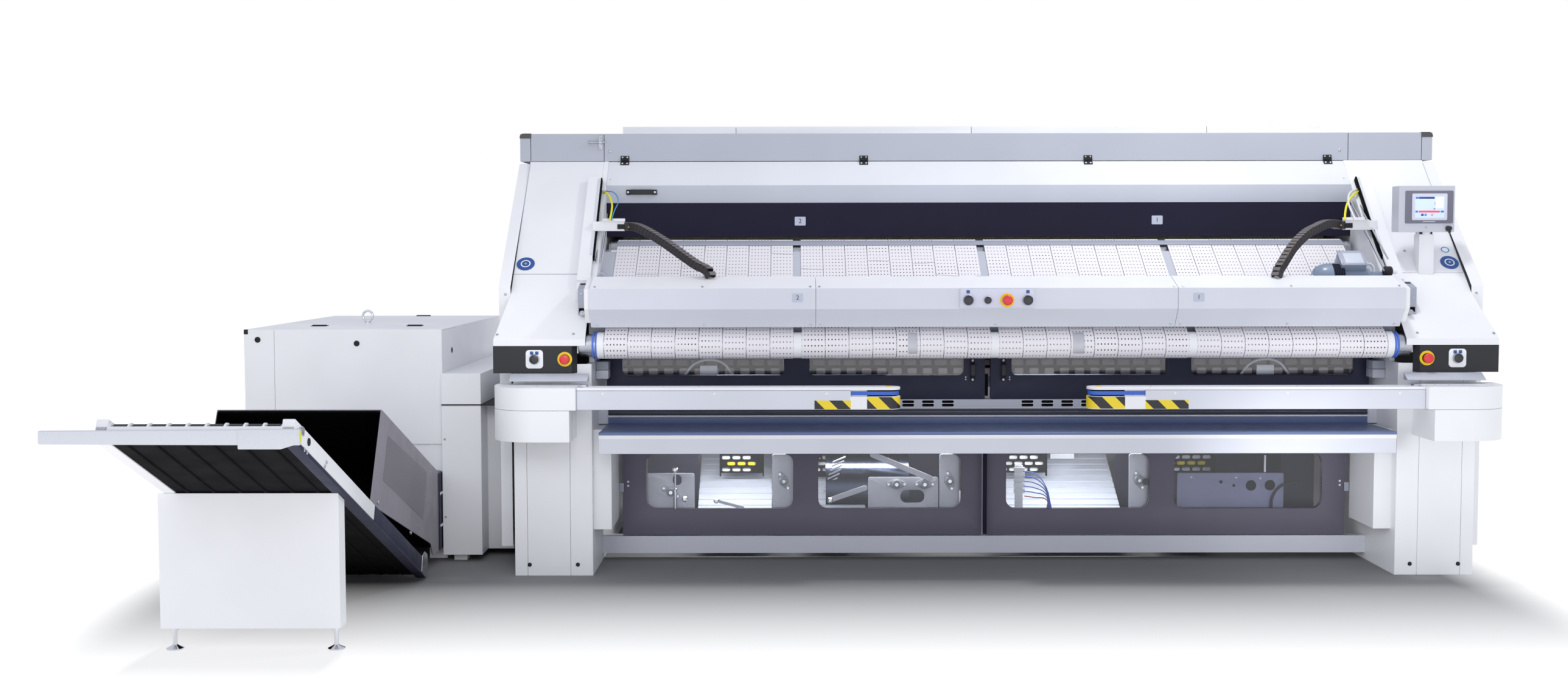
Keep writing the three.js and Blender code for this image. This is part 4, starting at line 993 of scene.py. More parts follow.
piece("hood_handle", bar_handle(HANDLE_SPAN, HANDLE_HEIGHT, hood_low.y, 34), BLACK_ABS, "hood")
handle_screws = [
    (x, hood_low.y - 10.5, sum(HANDLE_HEIGHT) / 2, "front")
    for x in (HANDLE_SPAN[0] + 9, HANDLE_SPAN[1] - 9)
]
screws("handle_screws", handle_screws, WHITE_ABS, "hood", 5)
screws("hood_screws", [(*on_slope(x, -88), "slope") for x in (-1690, 1680)], ZINC, "hood", 5)
dress("air_guide_panel", BLUE_BLACK_AND_SHADE, 1.0)


def number_plate(name, digit, place, size):
    """A small plate with one plain number."""
    x, y, z = place
    width, height = size
    outline = rounded_rectangle((x - width / 2, x + width / 2), (z - height / 2, z + height / 2), 4)
    piece(f"{name}_plate", prism("y", outline, (y - 1.5, y)), LABEL)
    text = bpy.data.curves.new(name, "FONT")
    text.body = digit
    text.size = height * 0.72
    text.align_x, text.align_y = "CENTER", "CENTER"
    text.extrude = 0.25
    holder = bpy.data.objects.new(name, text)
    bpy.context.scene.collection.objects.link(holder)
    bpy.context.view_layer.update()
    letters = bmesh.new()
    letters.from_mesh(
        bpy.data.meshes.new_from_object(holder.evaluated_get(bpy.context.evaluated_depsgraph_get()))
    )
    bpy.data.objects.remove(holder)
    moved(letters, Matrix.Translation((x, y - 1.6, z)) @ Matrix.Rotation(math.pi / 2, 4, "X"))
    return piece(f"{name}_digit", letters, INK)


PANEL_FRONT = reach("air_guide_panel")[0].y
PANEL_PLATE = (50, 40)
number_plate("station_two_upper", "2", (-817, PANEL_FRONT, 1516), PANEL_PLATE)
number_plate("station_one_upper", "1", (819, PANEL_FRONT, 1519), PANEL_PLATE)

# %% [markdown]
# ## Sloped consoles and side covers
#
# Each console is a large folded sheet at 45 degrees, in two lengths with a seam between them. A
# black seal fills the joint to the outer cover, as far down as that seam.

# %% Consoles
SEAM_Y = -514
up_the_slope = Vector((0, 1, 1)).normalized()
for side, sign in SIDES:
    dress(f"console_{side}", WHITE, 3.0, [(on_slope(0, SEAM_Y), up_the_slope)], 2.5)
    dress(f"side_cover_{side}", WHITE, 2.0)
    dress(f"side_frame_{side}", WHITE, 1.0)
    seal = block((-1, 1), (SEAM_Y * math.sqrt(2), -20), (-2, 1.2))
    piece(f"console_seal_{side}", moved(seal, slope_matrix(sign * 2068.5, 0)), MID_GREY)
console_screws = [
    (sign * x, y) for sign in (-1, 1) for x, y in ((2091, -600), (2100, -766), (1779, -764))
]
screws("console_screws", [(*on_slope(x, y), "slope") for x, y in console_screws], ZINC, radius=6)
cover_screws = [
    (sign * 2118.5, y, z, "right" if sign > 0 else "left")
    for sign in (-1, 1) for y in (-540, 240, 1000) for z in (150, 700, 1200)
]
screws("side_cover_screws", cover_screws, ZINC, radius=7)

# %% [markdown]
# A round blue plate is riveted to each console. It has a plain white ring round its rivet.

# %% Round plates on the consoles
PLATE_PLACE, DIAL_PLACE = (2023, -471), (2023, -417)
for side, sign in SIDES:
    lie = slope_matrix(sign * PLATE_PLACE[0], PLATE_PLACE[1])
    piece(f"console_disc_{side}", moved(rod("z", 39.5, (0, 2.4), (0, 0), 48, 0.8), lie), BLUE_DISC)
    white_ring = turned(
        "z", [(2.2, 17), (2.8, 17), (2.8, 21.5), (2.2, 21.5), (2.2, 17)], (0, 0), 48
    )
    piece(f"console_disc_ring_{side}", moved(white_ring, lie), WHITE_ABS)
    rivet = turned("z", [(2, 0), (2, 6), (4, 5.4), (5, 3), (5, 0)], (0, 0), 20)
    piece(f"console_disc_rivet_{side}", moved(rivet, lie), ZINC)
lie = slope_matrix(*DIAL_PLACE)
piece("pressure_dial", moved(rod("z", 21.5, (0, 3), (0, 0), 32, 1.0), lie), WHITE_ABS)
dial_ring = turned("z", [(2.8, 13), (3.6, 13.4), (3.6, 18), (2.8, 18.4), (2.8, 13)], (0, 0), 32)
piece("pressure_dial_ring", moved(dial_ring, lie), BLUE_CABLE)
print("consoles dressed, seam at Y", SEAM_Y)

# %% [markdown]
# ## Feed table: 32 perforated belts on two turned rollers
#
# Four groups of eight endless belts run side by side, with a strip of the pale table showing
# between the groups. One belt is a flat strip bent round both rollers. It is drawn as an open strip
# that starts and ends under the table, so that its UV map can count millimetres along and across
# without a jump. The strip has its own thickness.

# %% Feed belts
ROLLER_AT = pivot_of("feed_roller")
TAIL_AT = pivot_of("tail_roller")
TABLE_RUN = math.hypot(TAIL_AT.y - ROLLER_AT.y, TAIL_AT.z - ROLLER_AT.z)
TABLE_ANGLE = math.atan2(TAIL_AT.z - ROLLER_AT.z, TAIL_AT.y - ROLLER_AT.y)
ROLLER_RADIUS = 53
BELT_INSIDE = ROLLER_RADIUS + 0.7
BELT_THICKNESS = 3
BELT_WIDTH = 97.5
BELT_PITCH = 100
BELTS_IN_GROUP = 8
GROUP_PITCH = 833
to_table = Matrix.Translation((0, ROLLER_AT.y, ROLLER_AT.z)) @ Matrix.Rotation(TABLE_ANGLE, 4, "X")


def belt_loop(run, radius, steps=14):
    """Points round two rollers, from the joint in the lower run, and the way along to each."""
    turn_at_tail = arc((run, 0), radius, -90, 90, steps)
    turn_at_feed = arc((0, 0), radius, 90, 270, steps)
    top = [(run * (1 - i / 8), radius) for i in range(1, 8)]
    points = [(run / 2, -radius), *turn_at_tail, *top, *turn_at_feed, (run / 2 - 0.01, -radius)]
    lengths = [0.0]
    for a, b in zip(points, points[1:]):
        lengths.append(lengths[-1] + math.dist(a, b))
    return points, lengths


def belt_strip(left, right, run, radius, thickness, start):
    """One belt in the table's own frame. UVs run across from its middle and along from start."""
    outer, lengths = belt_loop(run, radius + thickness)
    inner, _ = belt_loop(run, radius)
    shape = bmesh.new()
    cloth = shape.loops.layers.uv.new("cloth")
    corners = [
        [shape.verts.new((x, *p)) for p in loop] for loop in (outer, inner) for x in (left, right)
    ]
    outer_left, outer_right, inner_left, inner_right = corners
    middle = (left + right) / 2
    for i in range(len(outer) - 1):
        skins = [
            (outer_left[i], outer_right[i], outer_right[i + 1], outer_left[i + 1]),
            (inner_left[i + 1], inner_right[i + 1], inner_right[i], inner_left[i]),
            (outer_left[i + 1], inner_left[i + 1], inner_left[i], outer_left[i]),
            (outer_right[i], inner_right[i], inner_right[i + 1], outer_right[i + 1]),
        ]
        ways = {loop[i + ahead]: lengths[i + ahead] for loop in corners for ahead in (0, 1)}
        for skin in skins:
            face = shape.faces.new(skin)
            for loop in face.loops:
                loop[cloth].uv = (loop.vert.co.x - middle, ways[loop.vert] + start)
    for i in (0, -1):
        ends = [outer_left[i], outer_right[i], inner_right[i], inner_left[i]]
        shape.faces.new(ends if i else ends[::-1])
    bmesh.ops.recalc_face_normals(shape, faces=shape.faces)
    return shape


chance = random.Random(7)
belt_middles = [
    (group - 1.5) * GROUP_PITCH + (place - 3.5) * BELT_PITCH
    for group in range(4)
    for place in range(BELTS_IN_GROUP)
]
strips = [
    belt_strip(
        x - BELT_WIDTH / 2, x + BELT_WIDTH / 2, TABLE_RUN, BELT_INSIDE, BELT_THICKNESS,
        chance.uniform(0, 200)
    )
    for x in belt_middles
]
piece("feed_belts_cloth", moved(merged(*strips), to_table), BELT_CLOTH, "root", ["feed_belts"])
print("feed belts:", len(belt_middles))

# %% [markdown]
# A belt is closed with a laced joint: a thin seam right across it. The joints are scattered,
# because each belt was laced on its own. The suction bed under the belts is folded sheet.

# %% Laced joints and the bed
JOINTS_IN_SIGHT = 0.72
lacing = []
for x in belt_middles:
    if chance.random() < JOINTS_IN_SIGHT:
        along = chance.uniform(70, TABLE_RUN - 90)
        skin = BELT_INSIDE + BELT_THICKNESS
        slant = chance.uniform(-6, 6)
        half = BELT_WIDTH / 2 - 0.5
        low, high = along - slant, along + slant
        outline = [(x - half, low), (x + half, high), (x + half, high + 2.4), (x - half, low + 2.4)]
        seam = prism("z", outline, (skin - 0.4, skin + 0.5))
        lacing.append(moved(seam, to_table))
piece("belt_lacing", merged(*lacing), ZINC)
# A grey strip on the belts at the top of the table, under the guide panel, is painted shade
belt_shade_strip = block((-1650, 1650), (681, 717), (BELT_INSIDE + 4.5, BELT_INSIDE + 7), 0.8)
piece("belt_shade_strip", moved(belt_shade_strip, to_table), MID_GREY)
dress("suction_bed", PALE_GREY, 1.0)
print("laced joints that show:", len(lacing))

# %% [markdown]
# ## Rollers
#
# The feed roller is turned steel. Its body carries the belts, with a bare white stretch and a blue
# drive band beside them, and its stub ends run in plate bearings on the side frames.

# %% Rollers
for node in ("feed_roller", "tail_roller", "return_roller"):
    dress(node, TURNED_STEEL)
FEED_AXIS = (ROLLER_AT.y, ROLLER_AT.z)
BARE_SPAN = (1651, 1680)
BAND_SPANS = ((1681, 1688), (1692, 1699.5))
COLLAR_AT = 1756
middle_sleeves = [
    rod("x", ROLLER_RADIUS + 2.2, (x - 17.5, x + 17.5), FEED_AXIS, 40, 0.6)
    for x in (-GROUP_PITCH, 0, GROUP_PITCH)
]
piece("roller_middle_sleeves", merged(*middle_sleeves), WHITE_ABS, "feed_roller")
finger = [*arc(FEED_AXIS, 60.5, 118, 214, 14), *arc(FEED_AXIS, 58.2, 214, 118, 14)]
fingers = [prism("x", finger, span, 0.4) for span in ((-366, -330), (328, 373))]
piece("linen_fingers", merged(*fingers), SATIN_STEEL)
for side, sign in SIDES:
    sleeve = rod("x", ROLLER_RADIUS + 3.2, on_side(sign, *BARE_SPAN), FEED_AXIS, 40, 1.0)
    piece(f"roller_sleeve_{side}", sleeve, WHITE_ABS, "feed_roller")
    bands = [
        rod("x", ROLLER_RADIUS + 3.6, on_side(sign, *span), FEED_AXIS, 40, 1.2)
        for span in BAND_SPANS
    ]
    piece(f"roller_bands_{side}", merged(*bands), BLUE_BAND, "feed_roller")
    steps = [(0, 10), (0, 30), (2, 32), (3.5, 32), (3.5, 10)]
    stop_ring = stud("x", sign * COLLAR_AT, sign, steps, FEED_AXIS, 32)
    piece(f"roller_collar_{side}", stop_ring, ZINC, "feed_roller")

# %% [markdown]
# ## Beam over the feed roller
#
# The beam is folded sheet: a white top slope, an upright face and a lower face that leans back to
# the rollers. The upright and the lower face are a darker white, painted shade. It is made in three
# lengths, and the lower face shows their seams. The screws stand in two rows.

# %% Feed beam
beam_low, beam_high = reach("feed_beam")
BEAM_FRONT = ROLLER_AT.y - 93
FACE_FOOT, FACE_TOP = ROLLER_AT.z + 156, ROLLER_AT.z + 243
BEAM_LIP = ROLLER_AT.z + 78
BEAM_SEAMS = (-757, 757)
LOWER_FACE_DEPTH = 63
PLATE_FRONT = BEAM_FRONT - 12
# The darker white on the beam's faces is painted shade
dress("feed_beam", SHADED_WHITE, 2.0, [((x, 0, 0), across) for x in BEAM_SEAMS], 1.6)

# A white cap strip closes the beam's top, from the face's upper edge to its ridge
ridge_y = ROLLER_AT.y + 50
strip = [
    (BEAM_FRONT + 1.5, FACE_TOP + 1.6), (BEAM_FRONT + 1.0, FACE_TOP + 0.4),
    (ridge_y, beam_high.z + 0.2), (ridge_y, beam_high.z + 1.6),
]
starts = (beam_low.x + 3, *(x + 1 for x in BEAM_SEAMS))
thirds = zip(starts, (*(x - 1 for x in BEAM_SEAMS), beam_high.x - 3))
piece("beam_top_sheet", merged(*(prism("x", strip, third) for third in thirds)), WHITE)


def lower_face(z):
    """How far back the lower face lies at a height."""
    return BEAM_FRONT + (FACE_FOOT - z) / (FACE_FOOT - BEAM_LIP) * LOWER_FACE_DEPTH


upper_row = [
    (sign * x, BEAM_FRONT + 12, FACE_TOP + 7) for x in (1682, 1231, 780, 742) for sign in (-1, 1)
]
LOWER_ROW_Z = 1073
lower_row = (-1677, -1227, -778, -737, 0, 737, 778, 1227, 1677)
screws("beam_upper_screws", [(x, y, z, "slope") for x, y, z in upper_row], ZINC, radius=5)
lower_spots = [(x, lower_face(LOWER_ROW_Z), LOWER_ROW_Z, "front") for x in lower_row]
screws("beam_lower_screws", lower_spots, ZINC, radius=5)
BEAM_PLATE = (45, 36)
for name, digit, x in (("two", "2", -833), ("one", "1", 843)):
    number_plate(f"station_{name}_beam", digit, (x, BEAM_FRONT, 1186), BEAM_PLATE)

# %% [markdown]
# The control plate in the middle has a lilac-grey foil on its face. The stop button stands on a
# yellow collar, and a small square lamp lies over each of the two larger black buttons.

# %% Control plate
CAP_TRAVEL = 6.5
STEM_RADIUS = 8
STOP_CAP = (20.5, 22)
COLLAR_DEPTH = 3.5
LAMP_HALF, LAMP_HEIGHT = 7, 13
plate_outline = rounded_rectangle((-154, 154), (FACE_FOOT + 6, FACE_TOP - 4), 19)
piece("control_foil", prism("y", plate_outline, (PLATE_FRONT - 1.2, PLATE_FRONT), 0.4), LILAC_PLATE)


def button_place(node, face):
    """The middle of a button, on the face that it stands in."""
    low, high = reach(node)
    return Vector(((low.x + high.x) / 2, face, (low.z + high.z) / 2))


def push_cap(node, face, radius, depth, material):
    """A domed cap on its stem, in the place of the plain one."""
    at = button_place(node, face)
    stem = [(-8 - CAP_TRAVEL, 0), (-8 - CAP_TRAVEL, STEM_RADIUS), (0, STEM_RADIUS)]
    dome = ((0, 0.82), (0.3, 0.86), (0.45, 1), (0.8, 1), (0.94, 0.86), (1, 0.6), (1, 0))
    steps = stem + [(depth * rise, radius * part) for rise, part in dome]
    cap = stud("y", at.y - CAP_TRAVEL, -1, steps, (at.x, at.z), 40)
    return piece(node + "_cap", cap, material, node, [node])


def collar(name, place, inner, outer, depth, material):
    """A flat ring on the face round a button."""
    steps = [
        (0, inner), (0, outer), (depth - 0.8, outer), (depth, outer - 1), (depth, inner),
        (0, inner),
    ]
    return piece(name, stud("y", place.y, -1, steps, (place.x, place.z), 48), material)


def square_lamp(x, foot, face, depth):
    """A small lamp that stands out of a face."""
    height = (foot, foot + LAMP_HEIGHT)
    return block((x - LAMP_HALF, x + LAMP_HALF), (face - depth, face), height, 1.0)


push_cap("button_centre_left", PLATE_FRONT, 20, 12, BLACK_CAP)
push_cap("button_centre_small", PLATE_FRONT, 14.5, 8, BLACK_CAP)
push_cap("estop_centre", PLATE_FRONT, *STOP_CAP, RED_CAP)
push_cap("button_centre_right", PLATE_FRONT, 20, 12, BLACK_CAP)
for node in ("button_centre_left", "button_centre_right", "button_centre_small"):
    ring = (15.1, 16.6) if node.endswith("small") else (20.6, 23)
    collar(f"{node}_ring", button_place(node, PLATE_FRONT), *ring, COLLAR_DEPTH, ZINC)
stop = button_place("estop_centre", PLATE_FRONT)
collar("estop_centre_collar", stop, 21.1, 30, COLLAR_DEPTH, YELLOW_DISC)
lamps = [square_lamp(x, 1204, PLATE_FRONT, 3) for x in (-122, 127)]
piece("button_lamps", merged(*lamps), BLUE_DISC)
print("control plate at height", round(stop.z))

# %% [markdown]
# ## Switch boxes at the ends of the table
#
# Each black box is moulded with a soft edge. On its face sit a yellow disc with the red stop button
# and a white plate with the black button and two small blue lamps.

# %% Switch boxes
BASE_THICKNESS = 3
for side, _ in SIDES:
    dress(f"control_box_{side}", BLACK_ABS, 3.0)
    box_low = reach(f"control_box_{side}")[0]
    stop, start = (button_place(f"{kind}_{side}", box_low.y) for kind in ("estop", "button"))
    push_cap(f"estop_{side}", box_low.y, *STOP_CAP, RED_CAP)
    push_cap(f"button_{side}", box_low.y - BASE_THICKNESS, 19, 10, BLACK_CAP)
    collar(f"estop_{side}_collar", stop, 21.1, 31, 4, YELLOW_DISC)
    base = rounded_rectangle((start.x - 36.5, start.x + 36.5), (start.z - 39, start.z + 39), 14)
    base_face = start.y - BASE_THICKNESS
    piece(f"button_{side}_plate", prism("y", base, (base_face, start.y), 0.8), WHITE_ABS)
    collar(f"button_{side}_ring", Vector((start.x, base_face, start.z)), 19.6, 22, 1.5, ZINC)
    lamps = [square_lamp(start.x + x, start.z + 20, base_face, 2.5) for x in (-11, 11)]
    piece(f"button_{side}_lamps", merged(*lamps), BLUE_DISC)
print("switch boxes dressed")

# %% [markdown]
# ## Lower side cabinets
#
# The cabinets are the machine's legs. Upright seams divide their fronts into panels, and two plugs
# close the fork-lift holes near the floor.

# %% Cabinets
LEG_SEAMS = (1800, 1983)
PLUG_PLACES, PLUG_HEIGHT = (1770, 1975), 48
for side, sign in SIDES:
    seams = [((sign * x, 0, 0), across) for x in LEG_SEAMS]
    dress(f"side_cabinet_{side}", WHITE, 2.5, seams, 0.7)
    leg_face = reach(f"side_cabinet_{side}")[0].y
    plug = [(0, 0), (0, 9), (3, 8), (4, 5), (4, 0)]
    plugs = [stud("y", leg_face, -1, plug, (sign * x, PLUG_HEIGHT), 20) for x in PLUG_PLACES]
    piece(f"leg_plugs_{side}", merged(*plugs), SOFT_BLACK)

# %% [markdown]
# ## Arms
#
# A folded white cover hides each arm's beam, and an aluminium rail with screws lies along its top.
# The cover stops short of the tip. There the lower half goes on as a round nose with hazard tape,
# and a blue belt runs round a pulley in the gap under the top plate. The arm swings about the
# corner of its fixed housing, where a step and a small latch show the joint.

# %% Arms
TIP_PARTS = {"left": (616, (412, 549), (616, 765)), "right": (594, (365, 510), (594, 771))}
NOSE_HEIGHT, TAPE_HEIGHT, LID_DEPTH = 54, 38, 13
RAIL_THICKNESS, RAIL_SCREWS = 2.2, 9
BELT_RISE = (59, 75)


def nose_outline(sign, axis, radius, start, shrink=0.0):
    """Round at the tip and square at its start, seen from above."""
    nose = arc(axis, radius - shrink, 90, 270, 16)
    outline = [(start, axis[1] - radius + shrink), (start, axis[1] + radius - shrink), *nose]
    return [(sign * x, y) for x, y in outline]


for side, sign in SIDES:
    node = f"arm_{side}"
    low, high = reach(node)
    step_at, tip_tape, middle_tape = TIP_PARTS[side]
    seam_at = abs(pivot_of(node).x)
    radius = (high.y - low.y) / 2
    axis = (abs(low.x if sign > 0 else high.x) + radius, low.y + radius)
    top_foot = high.z - LID_DEPTH
    gap = (low.z + NOSE_HEIGHT, top_foot)

    cover = block(on_side(sign, step_at, seam_at - 1), (low.y, high.y), (low.z, top_foot - 1))
    # The cover's darker white is painted shade
    piece(f"arm_cover_{side}", cover, SHADED_WHITE, node, [node], 2.0)
    nose = prism("z", nose_outline(sign, axis, radius, step_at + 4), (low.z, low.z + NOSE_HEIGHT))
    piece(f"arm_nose_{side}", nose, WHITE, node, [node], 2.0)
    lid = prism("z", nose_outline(sign, axis, radius, seam_at - 1), (top_foot, high.z - 2))
    piece(f"arm_lid_{side}", lid, WHITE, node, (), 1.5)
    core = prism("z", nose_outline(sign, axis, radius, step_at + 2, 14), gap)
    piece(f"arm_pulley_box_{side}", core, DARK_INSIDE, node)
    back_wall = block(on_side(sign, tip_tape[1], step_at), (low.y + 10, low.y + 13.5), gap)
    piece(f"arm_back_wall_{side}", back_wall, WHITE, node)
    belt = plate(
        "z", nose_outline(sign, axis, radius, step_at + 1, 5),
        [nose_outline(sign, axis, radius, step_at - 2, 9)],
        (low.z + BELT_RISE[0], low.z + BELT_RISE[1]), 1.2,
    )
    piece(f"arm_tip_belt_{side}", belt, BLUE_BELT, node)
    tape = plate(
        "z", nose_outline(sign, axis, radius, tip_tape[1], -0.7),
        [nose_outline(sign, axis, radius, tip_tape[1] - 3, 0.5)],
        (low.z + 3, low.z + NOSE_HEIGHT - 2),
    )
    piece(f"arm_tape_tip_{side}", tape, HAZARD_TAPE, node)
    strip = block(
        on_side(sign, *middle_tape), (low.y - 0.7, low.y + 0.5), (low.z + 2, low.z + TAPE_HEIGHT)
    )
    piece(f"arm_tape_middle_{side}", strip, HAZARD_TAPE, node)
    rail_x, rail_z = on_side(sign, axis[0] + 10, seam_at - 26), (high.z - RAIL_THICKNESS, high.z)
    rails = [block(rail_x, (low.y + y, low.y + y + 20), rail_z, 0.5) for y in (10, 60)]
    piece(f"arm_rail_{side}", merged(*rails), ANODISED, node)
    step = (seam_at - axis[0] - 130) / (RAIL_SCREWS - 1)
    spots = [
        (sign * (axis[0] + 60 + i * step), low.y + 20, high.z - 0.3, "up")
        for i in range(RAIL_SCREWS)
    ]
    screws(f"arm_screws_{side}", spots, ZINC, node, 4)
    front_spots = [(sign * x, low.y, high.z - 27, "front") for x in (716, 1177, 1637)]
    screws(f"arm_front_screws_{side}", front_spots, WHITE_ABS, node, 5)
    pin = [(0, 0), (0, 13), (2.2, 12), (2.2, 5), (1.4, 0)]
    pin_place = (sign * axis[0], axis[1])
    pin_shape = stud("z", high.z - RAIL_THICKNESS, 1, pin, pin_place)
    piece(f"arm_pin_{side}", pin_shape, YELLOW_DISC, node)

    # The fixed bracket and the latch at the seam
    dress(f"arm_bracket_{side}", WHITE, 3.0, [((0, 0, low.z), Vector((0, 0, 1)))], 1.5)
    bracket_low, bracket_high = reach(f"arm_bracket_{side}")
    latch_x = on_side(sign, seam_at - 40, seam_at - 8)
    piece(
        f"arm_latch_{side}",
        block(latch_x, (low.y + 30, low.y + 64), (high.z - 2, high.z + 7), 2.0), ZINC, node,
    )
    housing_x = on_side(sign, seam_at + 12, 1960)
    rail_top = bracket_high.z + RAIL_THICKNESS
    rail_y = (bracket_low.y + 50, bracket_low.y + 76)
    housing_rail = block(housing_x, rail_y, (bracket_high.z, rail_top), 0.5)
    piece(f"housing_rail_{side}", housing_rail, ANODISED)
    spots = [(sign * x, sum(rail_y) / 2, rail_top, "up") for x in (1790, 1850, 1910)]
    screws(f"housing_screws_{side}", spots, ZINC, radius=4)
for side, sign in reversed(SIDES):
    plug = [(0, 0), (0, 13), (4.5, 12), (5.5, 8), (5.5, 0)]
    piece(f"bracket_plug_{side}", stud("x", sign * 2099.5, sign, plug, (-800, 776)), SOFT_BLACK)
print("arms dressed")

# %% [markdown]
# ## Shelf
#
# The worktop is folded from one sheet. Its top has a blue-grey coat with a white lip along the
# front, and three bars run behind it at the foot of the guard doors.

# %% Shelf
shelf_low, shelf_high = reach("shelf")
LIP = 8
# The shelf sheet's darker white is painted shade
dress("shelf", SHADED_WHITE, 1.5)
worktop = block(
    (shelf_low.x + 2, shelf_high.x - 2), (shelf_low.y + LIP, shelf_high.y - 2),
    (shelf_high.z, shelf_high.z + 1.4),
)
piece("shelf_worktop", worktop, SHELF_BLUE, "root", (), 0.5)
EDGE = 11
profile = [
    (-1, -EDGE), (-1, -2), (2, 1.5), (LIP + 1, 1.5), (LIP + 1, 0.2), (0, -2), (0, -EDGE),
]
edge = [(shelf_low.y + y, shelf_high.z + z) for y, z in profile]
piece("shelf_edge", prism("x", edge, (shelf_low.x, shelf_high.x)), SHELF_BLUE)
lip = block(
    (shelf_low.x, shelf_high.x), (shelf_low.y - 1.5, shelf_low.y),
    (shelf_high.z - 27, shelf_high.z - EDGE), 0.4,
)
piece("shelf_lip", lip, WHITE)
rear_x = (shelf_low.x + 4, shelf_high.x - 4)
REAR_Y = -512.3
rear_bars = [
    block(rear_x, (front, REAR_Y), z, 1.0)
    for front, z in ((-519, (663, 676)), (-517.5, (678, 690)))
]
piece("shelf_rear_bars", merged(*rear_bars), RAIL_BLUE)
piece("shelf_upstand", block(rear_x, (-518, REAR_Y), (shelf_high.z + 1, 653), 1.0), SHELF_BLUE)
piece("shelf_rear_line", rod("x", 3.4, rear_x, (-517, 657.5), 12, 1.0), WHITE)
# The door frame's darker white is painted shade
dress("door_frame", SHADED_WHITE, 1.5)
print("shelf worktop", round(shelf_high.x - shelf_low.x), "mm long")

# %% [markdown]
# ## Doors with clear windows
#
# Each door is a folded steel leaf with two windows. The sheet is cut with round corners so that it
# does not tear there, and a clear pane is glued in behind. The leaf and the pane stand for the
# plain door of the construction and move with it.

# %% Doors
WINDOW_CORNER = 42
PANE_SETBACK, PANE_THICKNESS = 8, 3
SEAL_WIDTH = 9


def window(span, heights, grow, corner):
    """The outline of a window, made larger all round."""
    x, z = ((low - grow, high + grow) for low, high in (span, heights))
    return rounded_rectangle(x, z, corner, 6)


def windowed_door(node, windows, heights, material, corner=WINDOW_CORNER):
    low, high = reach(node)
    outline = rounded_rectangle((low.x, high.x), (low.z, high.z), 4, 2)
    openings = [window(span, heights, 0, corner) for span in windows]
    leaf = plate("y", outline, openings, (low.y, high.y), 1.5)
    piece(node + "_leaf", leaf, material, node, [node])
    depth = (low.y + PANE_SETBACK, low.y + PANE_SETBACK + PANE_THICKNESS)
    panes = [prism("y", window(span, heights, -0.6, corner), depth) for span in windows]
    piece(node + "_panes", merged(*panes), CLEAR_PANE, node)
    rims = [
        plate(
            "y", window(span, heights, SEAL_WIDTH, corner + SEAL_WIDTH),
            [window(span, heights, -1, corner - 1)], (high.y, high.y + 2),
        )
        for span in windows
    ]
    piece(node + "_seals", merged(*rims), SOFT_BLACK, node)
    return low, high


def on_both(sign, pairs):
    return [on_side(sign, *pair) for pair in pairs]


# A grip from the side: how far it stands out, and the height from its middle
GRIP_MIDDLE = 860
GRIP = (
    (0, -48), (12, -48), (14, -34), (30, -24), (30, 24), (14, 34), (12, 48), (0, 48), (0, 30),
    (20, 20), (20, -20), (0, -30),
)
for side, sign in SIDES:
    node = f"lower_door_{side}"
    low, high = windowed_door(
        node, on_both(sign, [(100, 740), (850, 1510)]), (228, 475), DOOR_BROWN
    )
    outer = high.x if sign > 0 else low.x
    dots = [(outer - sign * 25, low.y, z, "front") for z in (333, 351)]
    screws(f"{node}_screws", dots, WHITE_ABS, node, 5)
    strap_x = outward(outer - sign * 6, sign, 20)
    strap = block(strap_x, (low.y - 6, low.y - 1), (306, 346), 1.5)
    piece(f"{node}_strap", strap, MID_GREY, node)

    node = f"guard_door_{side}"
    low, high = windowed_door(
        node, on_both(sign, [(104, 780), (890, 1600)]), (834, 985), CHARCOAL, 26
    )
    inner = low.x if sign > 0 else high.x
    grip_x = outward(inner + sign * 46, sign, 18)
    grip = [(low.y - out, GRIP_MIDDLE + rise) for out, rise in GRIP]
    piece(f"{node}_grip", prism("x", grip, grip_x, 2.0, 2, 12), BLACK_ABS, node)
    screws(
        f"{node}_grip_screws", [(sum(grip_x) / 2, low.y - 12, z, "front") for z in (818, 902)],
        WHITE_ABS, node, 5,
    )
    screws(
        f"{node}_screws", [(inner + sign * 84, low.y, z, "front") for z in (818, 828)], WHITE_ABS,
        node, 3,
    )
print("doors dressed:", 2 * len(SIDES))

# %% [markdown]
# Under the guard doors lies a pale sill with two rows of long slots.

# %% Slotted sill
SILL_FRONT = -512
SLOT_PITCH = 87
sill = rounded_rectangle((-1650, 1650), (697, 729), 2, 1)
slots = [
    rounded_rectangle((i * SLOT_PITCH - 26, i * SLOT_PITCH + 26), (z, z + 12), 5.5, 3)
    for i in range(-18, 19) if abs(i) > 1 for z in (699.5, 714.5)
]
piece("sill_plate", plate("y", sill, slots, (SILL_FRONT - 3, SILL_FRONT - 1)), PALE_GREY)
piece("sill_shadow", block((-1648, 1648), (SILL_FRONT - 0.9, SILL_FRONT), (698, 728)), DARK_INSIDE)
print("slots in the sill:", len(slots))

# %% [markdown]
# ## What the windows show
#
# Behind the guard doors lies a bar with two rows of small rubber scrapers, a white sensor box and
# its hose. Behind the lower doors stand upright machine plates with flange bearings, and ribbed
# tables of extruded aluminium that guide the linen out. All of it stands on the low beam or hangs
# between the side frames.

